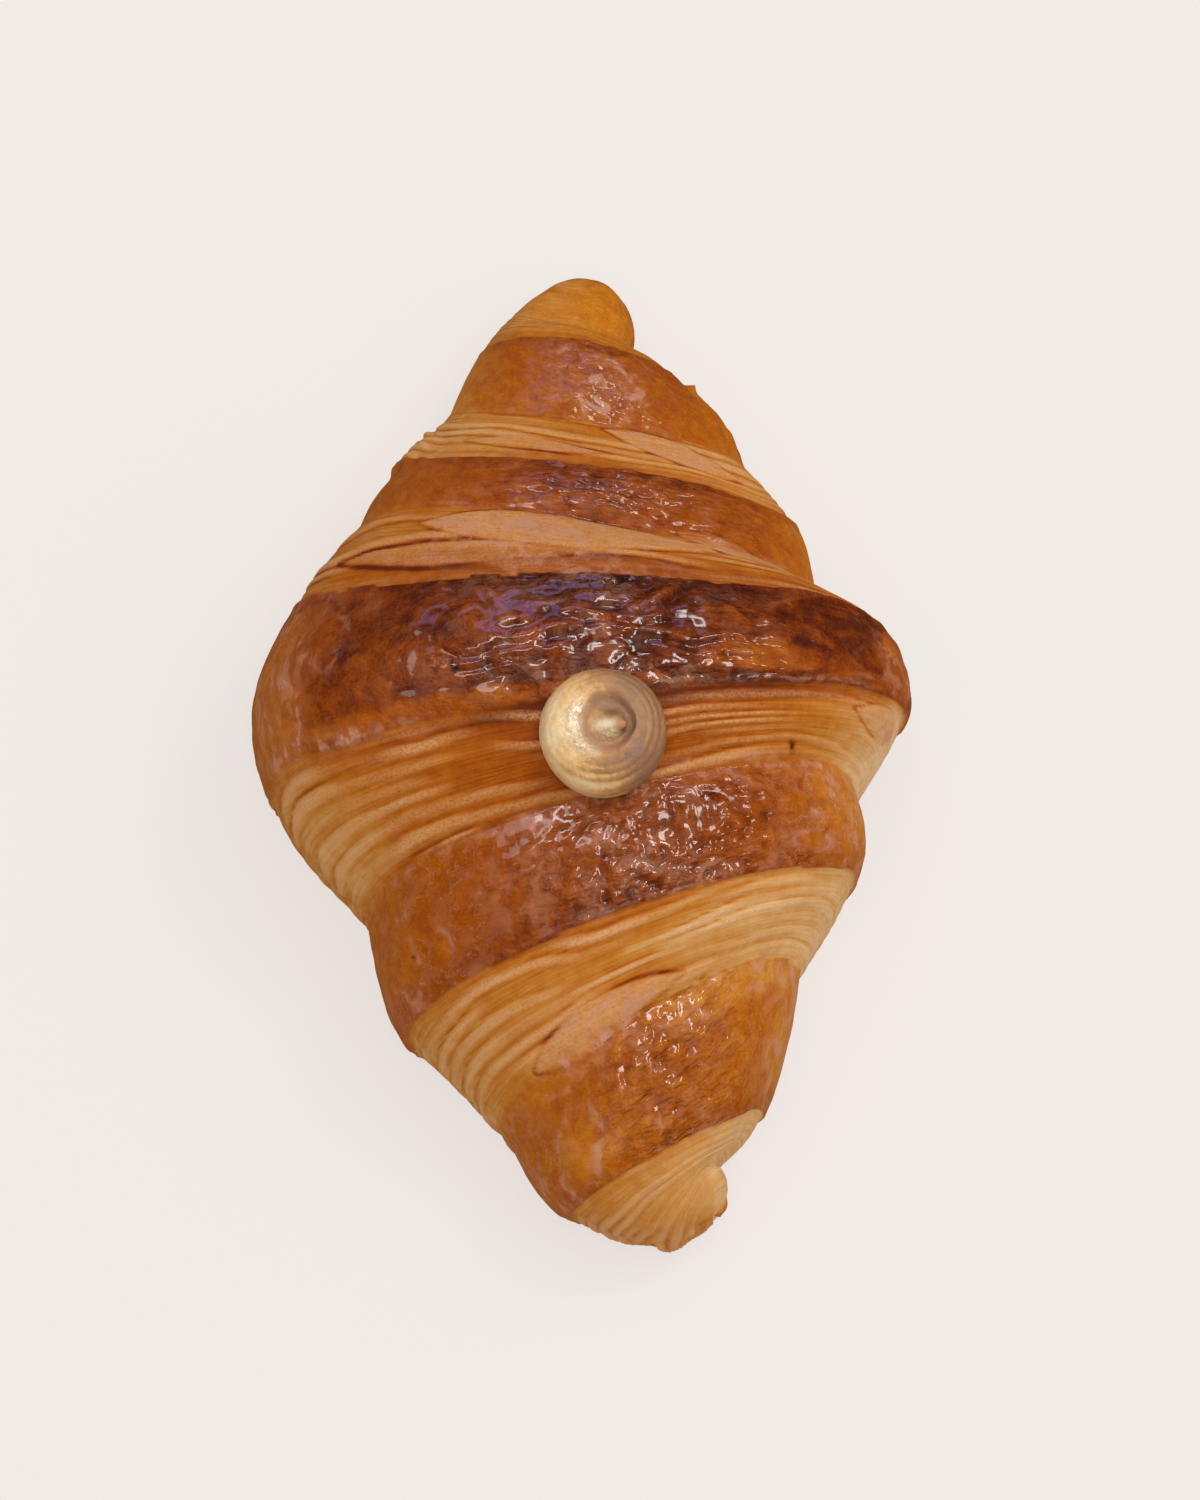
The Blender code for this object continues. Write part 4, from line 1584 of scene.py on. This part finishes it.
def mesh_piece(name: str, points: np.ndarray, faces: list) -> bpy.types.Object:
    """Makes a smooth-shaded piece.

    Args:
        name: its name.
        points: its points in millimetres.
        faces: its faces.

    Returns:
        The piece, in the scene.
    """
    mesh = bpy.data.meshes.new(name)
    mesh.from_pydata((points * MM).tolist(), [], faces)
    mesh.validate()
    mesh.update()
    mesh.shade_smooth()
    piece = bpy.data.objects.new(name, mesh)
    bpy.context.scene.collection.objects.link(piece)
    return piece


@dataclass(frozen=True)
class CreamFinish:
    """Satin nut cream, pale where painted light falls on the swirl's left and brown where painted shade falls
    on its right, with painted highlights where it is wet.

    Stops are pairs of painted shading and display colour, and lifts are in millimetres.
    """

    stops: tuple = (
        (0.0, (255, 228, 178)),
        (0.3, (246, 194, 128)),
        (0.6, (192, 137, 78)),
        (1.0, (154, 110, 80)),
    )
    # Colour of the painted shade in the hollows beside the peak and under it.
    hollow: tuple = (104, 82, 50)
    # Colour of the painted highlight on the wet cream and on the peak's slope.
    fresh: tuple = (255, 234, 196)
    tip: tuple = (214, 138, 84)
    mottle_span: tuple[float, float] = (0.3, 0.7)
    mottle_swing: float = 0.22
    mottles_per_metre: float = 900.0
    grains_per_metre: float = 2200.0
    grain_lift: float = 0.10
    dents_per_metre: float = 1700.0
    dent_lift: tuple[float, float] = (0.10, 0.75)
    wet_roughness: tuple[float, float] = (0.50, 0.16)
    coat_roughness: float = 0.12

    def colour_group(self) -> bpy.types.NodeTree:
        """Colour of the cream, with its painted shading, painted highlights and painted shade.

        Returns:
            The group. All that it takes are masks.
        """
        takes = tuple((n, VALUE) for n in ("Dryness", "Hollow", "Fresh", "Tip", "Mottle"))
        lay, given, gives = node_group("cream_colour", takes, (("Color", COLOUR),))
        # The ramp follows the painted shading. The painted highlight, the hollows' painted shade and the
        # tip's colour go over it.
        base = lay.ramp(lay.plus(given["Dryness"], lay.swing(given["Mottle"], self.mottle_swing)), self.stops)
        for name, colour in (("Fresh", self.fresh), ("Hollow", self.hollow), ("Tip", self.tip)):
            base = lay.blend(given[name], base, tone(*colour))
        lay.put(base, gives["Color"])
        return lay.tree

    def material(self, mottle: bpy.types.NodeTree) -> bpy.types.Material:
        """The cream's material.

        Args:
            mottle: the group that mottles crust and cream.

        Returns:
            The material.
        """
        made, lay, shader = fresh_material("nut_cream")
        place = lay.add("ShaderNodeTexCoord").outputs["Object"]
        wet = lay.mask("wet")
        start, end = self.mottle_span
        mottling = placed(lay, mottle, Place=place, Per_Unit=self.mottles_per_metre, From=start, To=end)
        masks = {name: lay.mask(name.lower()) for name in ("Dryness", "Hollow", "Fresh", "Tip")}
        lay.put(placed(lay, self.colour_group(), Mottle=mottling, **masks), shader.inputs["Base Color"])
        grain = lay.times(lay.noise(place, self.grains_per_metre, 3.0, 0.6), self.grain_lift)
        dents = lay.noise(place, self.dents_per_metre, 2.0, 0.5)
        dents = lay.times(dents, lay.span(wet, 0.0, 1.0, *self.dent_lift))
        lay.bumped(lay.plus(grain, dents), shader)
        lay.put(lay.span(wet, 0.0, 0.8, *self.wet_roughness), shader.inputs["Roughness"])
        lay.put(wet, shader.inputs["Coat Weight"])
        shader.inputs["Coat Roughness"].default_value = self.coat_roughness
        return made


@dataclass(frozen=True)
class Spot:
    """A soft oval spot on the swirl: its middle from the swirl's own, and its half sizes, in millimetres."""

    x: float
    y: float
    wide: float
    long: float

    def share(self, x: np.ndarray, y: np.ndarray) -> np.ndarray:
        """How much of the spot is at each place, 1 in its middle."""
        return np.exp(-(((x - self.x) / self.wide) ** 2) - ((y - self.y) / self.long) ** 2)


@dataclass
class CreamSwirl:
    """The small piped swirl on the crown. All sizes are in millimetres, heights from the crown."""

    centre: tuple[float, float] = (3.0, -10.0)
    radius: float = 9.5
    rim_radius: float = 5.1
    rim_height: float = 6.0
    moat_radius: float = 3.3
    moat_depth: float = 0.7
    peak_height: float = 8.4
    peak_offset: tuple[float, float] = (1.9, -0.95)
    around: int = 168
    wall_rings: int = 60
    inner_rings: int = 60
    sink: float = 0.35
    foot_height: float = 0.3
    foot_taper: float = 0.07
    curl_reach: tuple[float, float] = (0.9, 0.25)
    ring_pitch: float = 0.92
    ring_lift: float = 0.10
    lump_size: float = 2.6
    hollow_depth: float = 0.45
    # The two hollows are dented and get painted shade. The spot under the peak gets painted shade only.
    hollow: Spot = Spot(1.3, 1.9, 1.7, 0.9)
    side_hollow: Spot = Spot(3.9, -0.2, 0.9, 1.5)
    peak_shade: Spot = Spot(2.9, -1.3, 0.8, 0.5)
    front_glint: Spot = Spot(0.9, -1.9, 1.3, 0.7)
    # Painted highlight on the peak's slope.
    peak_highlight: Spot = Spot(0.3, -0.6, 1.6, 0.9)
    finish: CreamFinish = field(default_factory=CreamFinish)

    def wall_radius(self, height: np.ndarray) -> np.ndarray:
        """How wide the mound is.

        Args:
            height: heights over the crown.

        Returns:
            The radius at each height.
        """
        share = np.clip(height / self.rim_height, 0.0, 1.0) ** (1.0 / 0.85)
        turn = np.arcsin(np.clip(share, 0.0, 1.0))
        bulged = self.rim_radius + (self.radius - self.rim_radius) * np.cos(turn) ** 0.95
        foot = self.radius * (1.0 - self.foot_taper * np.clip(self.foot_height - height, 0.0, 5.0) / 4.8)
        return np.where(height > self.foot_height, bulged, foot)

    def ground(self, crust: BVHTree, aside: float, ahead: float) -> float:
        """Height of the crust under the swirl.

        Args:
            crust: the crust's faces.
            aside: how far to the right of the swirl's middle.
            ahead: how far towards the far tip.

        Returns:
            The height in millimetres.
        """
        above = Vector(((self.centre[0] + aside) * MM, (self.centre[1] + ahead) * MM, 0.2))
        return crust.ray_cast(above, Vector((0.0, 0.0, -1.0)))[0].z / MM

    def inner_ring(self, share: float, cosine: np.ndarray, sine: np.ndarray) -> np.ndarray:
        """One ring of the peak and of the moat around it.

        Args:
            share: how far the ring is from the peak to the rim, from 0 to 1.
            cosine: cosine of each point's turn.
            sine: sine of each point's turn.

        Returns:
            The ring's points, from the swirl's middle and the crown.
        """
        floor = self.rim_height - self.moat_depth
        radius = self.rim_radius * share
        inner = np.array(max(0.0, 1.0 - radius / self.moat_radius))
        outer = np.array(max(0.0, (radius - self.moat_radius) / (self.rim_radius - self.moat_radius)))
        height = floor + (self.peak_height - floor) * inner**1.75 + self.moat_depth * ease(outer, 0.0, 1.0)
        lean, curl = ease(inner, 0.0, 1.0), ease(inner, 0.62, 1.0)
        x = radius * cosine * (1.0 + 0.15 * inner) + lean * self.peak_offset[0] + self.curl_reach[0] * curl
        x = x + 0.6 * ease(np.array(1.0 - share), 0.0, 0.4)
        y = radius * sine + lean * self.peak_offset[1] + self.curl_reach[1] * curl
        return stack(x, y, height - 0.5 * curl)

    def grid(self, under: bpy.types.Object) -> np.ndarray:
        """Rings of the swirl's smooth form.

        Args:
            under: the body that carries it.

        Returns:
            The rings' points, from the tip of the peak to the foot.
        """
        mesh = under.data
        crust = BVHTree.FromPolygons([v.co for v in mesh.vertices], [p.vertices for p in mesh.polygons])
        turn = np.arange(self.around) / self.around * 2.0 * np.pi
        cosine, sine = np.cos(turn), np.sin(turn)
        middles = ((0, 0), (2, 0), (-2, 0), (0, 2), (0, -2))
        base = float(np.mean([self.ground(crust, aside, ahead) for aside, ahead in middles]))
        edge = [self.ground(crust, self.radius * c, self.radius * s) for c, s in zip(cosine, sine)]
        foot = np.array(edge) - base - self.sink
        rows = [self.inner_ring(share, cosine, sine) for share in np.linspace(0.02, 1.0, self.inner_rings)]
        for share in np.linspace(0.0, 1.0, self.wall_rings + 1)[1:]:
            height = self.rim_height + (foot - self.rim_height) * share**0.9
            wide = self.wall_radius(height)
            rows.append(np.stack([wide * cosine, wide * sine, height], axis=-1))
        return np.array(rows) + np.array([*self.centre, base])

    def masks(
        self, x: np.ndarray, y: np.ndarray, shares: np.ndarray, lumps: np.ndarray, rings: np.ndarray
    ) -> dict[str, np.ndarray]:
        """Masks of the cream's painted shading, the painted shade in its hollows and under its peak, its
        painted highlights, its tip and where it is wet.

        Args:
            x: each point's place to the right of the swirl's middle.
            y: each point's place towards the far tip.
            shares: how far each point is from the peak to the foot.
            lumps: the cream's unevenness.
            rings: the fine rings, from -1 to 1.

        Returns:
            The masks by name.
        """
        turn = np.arange(self.around) / self.around * 2.0 * np.pi
        ring = np.hypot(x - 0.8, y - 0.1)
        tilted = x + 0.10 * np.abs(y) + 0.12 * y
        moat = bell(ring, 3.7, 0.75) * (0.55 + 0.45 * ease(np.cos(turn - 2.6), -0.4, 0.8))
        # Painted shading: painted light on the left, painted shade on the right, and darker towards the front
        # and back edges.
        painted_shading = 0.04 + 0.88 * ease(tilted, -10.5, 8.5) + 0.06 * (np.abs(y) / self.radius) ** 3
        # More painted shade in the moat, bands from the rings and random tone from the lumps.
        painted_shading = painted_shading + (0.30 + 0.20 * ease(-x, -1.0, 2.0)) * moat + 0.18 * rings + 0.12 * lumps
        # Darker towards the front, with painted light on the near foot.
        painted_shading = painted_shading + 0.10 * ease(-y, 2.0, 5.0) - 0.36 * ease(-y, 6.6, 9.2)
        # Lighter along the rim on the right.
        painted_shading = painted_shading - 0.10 * bell(ring, 5.3, 0.6) * self.right_side(turn)
        wet = bell(ring, 5.2, 1.0) * ease(-np.cos(turn - 0.25), 0.15, 0.9)
        wet = np.maximum(wet, 0.8 * self.front_glint.share(x, y))
        peak = 1.0 - ease(shares, 0.01, 0.07)
        # Painted shade in the two hollows and under the peak.
        hollow = 0.75 * self.hollows(x, y) + 0.7 * self.peak_shade.share(x, y)
        return {
            "dryness": painted_shading,
            "hollow": np.clip(hollow, 0.0, 1.0) * (1.0 - peak),
            # Painted highlight where the cream is wet and on the peak's slope.
            "fresh": np.maximum(0.75 * wet, self.peak_highlight.share(x, y)),
            "tip": peak,
            "wet": wet,
        }

    def hollows(self, x: np.ndarray, y: np.ndarray) -> np.ndarray:
        """The two hollows beside the peak, 1 where they are deepest."""
        return np.maximum(self.hollow.share(x, y), 0.7 * self.side_hollow.share(x, y))

    @staticmethod
    def right_side(turn: np.ndarray) -> np.ndarray:
        """A share that is 1 on the swirl's right and front, where the rings stand out."""
        return ease(np.cos(turn - np.radians(-30.0)), -0.55, 0.8)

    def build(self, under: bpy.types.Object) -> bpy.types.Object:
        """Builds and dresses the swirl.

        Args:
            under: the body that carries it.

        Returns:
            The piece, without its material.
        """
        points = self.grid(under)
        turn = np.arange(self.around) / self.around * 2.0 * np.pi
        shares = np.linspace(0.0, 1.0, len(points))[:, None] * np.ones(self.around)
        normal = outward(points)
        if normal[0, :, 2].mean() < 0.0:
            normal = -normal
        local = points - np.array([*self.centre, 0.0])
        x, y = local[..., 0], local[..., 1]
        radius = np.hypot(x, y)
        lumps = Grain(Seed.CREAM).layered(local / self.lump_size)
        rings = np.cos(2.0 * np.pi * ((radius + 0.15 * lumps) / self.ring_pitch) + turn)
        rings = rings * ease(radius, 4.4, 5.6) * (0.15 + 0.85 * self.right_side(turn))
        above = ease(shares, 0.0, 0.6) < 1.0
        relief = self.ring_lift * rings + (0.10 + 0.08 * above) * lumps
        relief = (relief - self.hollow_depth * self.hollows(x, y) * above) * ease(1.0 - shares, 0.0, 0.12)
        points = points + normal * relief[..., None]

        tip = points[0].mean(axis=0) + np.array([0.25, 0.05, 0.12])
        foot = points[-1].mean(axis=0) - np.array([0.0, 0.0, 2.5])
        flat = np.concatenate([[tip], points.reshape(-1, 3), [foot]])
        swirl = mesh_piece("piped_swirl", flat, tube_faces(len(points), self.around))
        for name, values in self.masks(x, y, shares, lumps, rings).items():
            put_field(swirl, name, ends_joined(values))
        return swirl


@dataclass(frozen=True)
class Softbox:
    """An area light that looks at the object: place and size in metres, power in watts."""

    name: str
    place: tuple[float, float, float]
    size: tuple[float, float]
    power: float
    colour: tuple[float, float, float] = (1.0, 1.0, 1.0)
    glossy: bool = True
    diffuse: bool = True

    def hang(self) -> None:
        """Puts the light in the scene."""
        light = bpy.data.lights.new(self.name, "AREA")
        light.shape = "RECTANGLE"
        light.size, light.size_y = self.size
        light.energy = self.power
        light.color = self.colour
        made = bpy.data.objects.new(self.name, light)
        made.location = self.place
        made.rotation_euler = Vector(self.place).to_track_quat("Z", "Y").to_euler()
        made.visible_camera = False
        made.visible_glossy = self.glossy
        made.visible_diffuse = self.diffuse
        bpy.context.scene.collection.objects.link(made)


SOFTBOXES = (
    Softbox("overhead", (0.45, 0.0, 2.0), (3.0, 3.0), 35.0, glossy=False),
    Softbox("key", (0.46, 0.34, 1.05), (0.16, 0.26), 1.7, (1.0, 0.98, 0.95)),
    Softbox("sheen", (0.40, 0.20, 1.10), (0.50, 0.60), 0.2, (1.0, 0.90, 0.95)),
    Softbox("window", (-0.20, 1.0, 0.70), (0.9, 0.30), 2.1, (0.38, 0.38, 1.0), diffuse=False),
    Softbox("pane_0", (0.10, 0.75, 0.95), (0.22, 0.09), 1.0, diffuse=False),
    Softbox("pane_1", (0.75, 0.55, 0.95), (0.22, 0.09), 1.0, diffuse=False),
    Softbox("pane_2", (-0.25, 0.45, 0.95), (0.22, 0.09), 1.0, diffuse=False),
    Softbox("pane_3", (0.85, -0.05, 0.95), (0.22, 0.09), 1.0, diffuse=False),
    Softbox("pane_4", (0.30, -0.10, 0.95), (0.22, 0.09), 1.0, diffuse=False),
    Softbox("side_pane", (-0.42, 0.30, 0.85), (0.22, 0.28), 1.0, diffuse=False),
)


@dataclass
class Studio:
    """Pale floor, soft light and the camera.

    View width, aim and floor gap are in millimetres, elevation in degrees, the other lengths in metres.
    """

    elevation: float = 74.0
    distance: float = 2.5
    view_width: float = 225.0
    aim: tuple[float, float, float] = (2.55, -3.55, 20.0)
    floor_tone: tuple = (120, 116, 113)
    floor_glow: tuple = (241, 236, 232)
    floor_light: float = 0.79
    floor_side: float = 6.0
    floor_gap: float = 0.02
    room_light: float = 0.37
    room_tone: tuple[float, float, float, float] = (1.0, 0.98, 0.96, 1.0)
    sensor: float = 36.0

    def camera(self) -> None:
        """Places the camera at the photograph's viewing angle."""
        lens = bpy.data.cameras.new("camera")
        lens.sensor_width = self.sensor
        lens.lens = self.sensor * self.distance / (self.view_width * MM)
        lens.clip_start, lens.clip_end = 0.05, 20.0
        made = bpy.data.objects.new("camera", lens)
        bpy.context.scene.collection.objects.link(made)
        tilt = np.radians(self.elevation)
        aim = Vector(self.aim) * MM
        back = Vector((0.0, -float(np.cos(tilt)), float(np.sin(tilt))))
        made.location = aim + back * self.distance
        made.rotation_euler = (-back).to_track_quat("-Z", "Y").to_euler()
        bpy.context.scene.camera = made

    def lights(self) -> None:
        """Hangs the soft boxes in a pale room that the glaze doesn't mirror."""
        for box in SOFTBOXES:
            box.hang()
        world = bpy.data.worlds.new("room")
        world.use_nodes = True
        world.cycles_visibility.glossy = False
        ground = world.node_tree.nodes["Background"]
        ground.inputs["Color"].default_value = self.room_tone
        ground.inputs["Strength"].default_value = self.room_light
        bpy.context.scene.world = world
        bpy.context.scene.view_settings.view_transform = "Standard"

    def floor(self) -> None:
        """Lays a plain pale floor just under the sole."""
        mesh = bpy.data.meshes.new("floor")
        side = self.floor_side
        square = [(-side, -side, 0.0), (side, -side, 0.0), (side, side, 0.0), (-side, side, 0.0)]
        mesh.from_pydata(square, [], [(0, 1, 2, 3)])
        made = bpy.data.objects.new("floor", mesh)
        made.location.z = -self.floor_gap * MM
        made.visible_glossy = False
        bpy.context.scene.collection.objects.link(made)
        paint, _, shader = fresh_material("pale_floor")
        shader.inputs["Base Color"].default_value = tone(*self.floor_tone)
        shader.inputs["Roughness"].default_value = 0.9
        shader.inputs["Specular IOR Level"].default_value = 0.1
        shader.inputs["Emission Color"].default_value = tone(*self.floor_glow)
        shader.inputs["Emission Strength"].default_value = self.floor_light
        mesh.materials.append(paint)


def main() -> None:
    """Builds the pieces in order and reports each."""
    logging.basicConfig(level=logging.INFO, format="%(message)s")
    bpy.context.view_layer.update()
    studio = Studio()
    studio.camera()
    studio.lights()
    studio.floor()
    mottle = mottle_group()

    croissant = Croissant()
    body = croissant.build()
    body.data.materials.append(croissant.finish.material(mottle))
    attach(body, "root")
    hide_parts("croissant")
    LOG.info("baked roll: %d faces", len(body.data.polygons))

    cream = CreamSwirl()
    swirl = cream.build(body)
    swirl.data.materials.append(cream.finish.material(mottle))
    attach(swirl, "root")
    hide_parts("cream_dollop")
    LOG.info("piped swirl: %d faces", len(swirl.data.polygons))


if __name__ == "__main__":
    main()
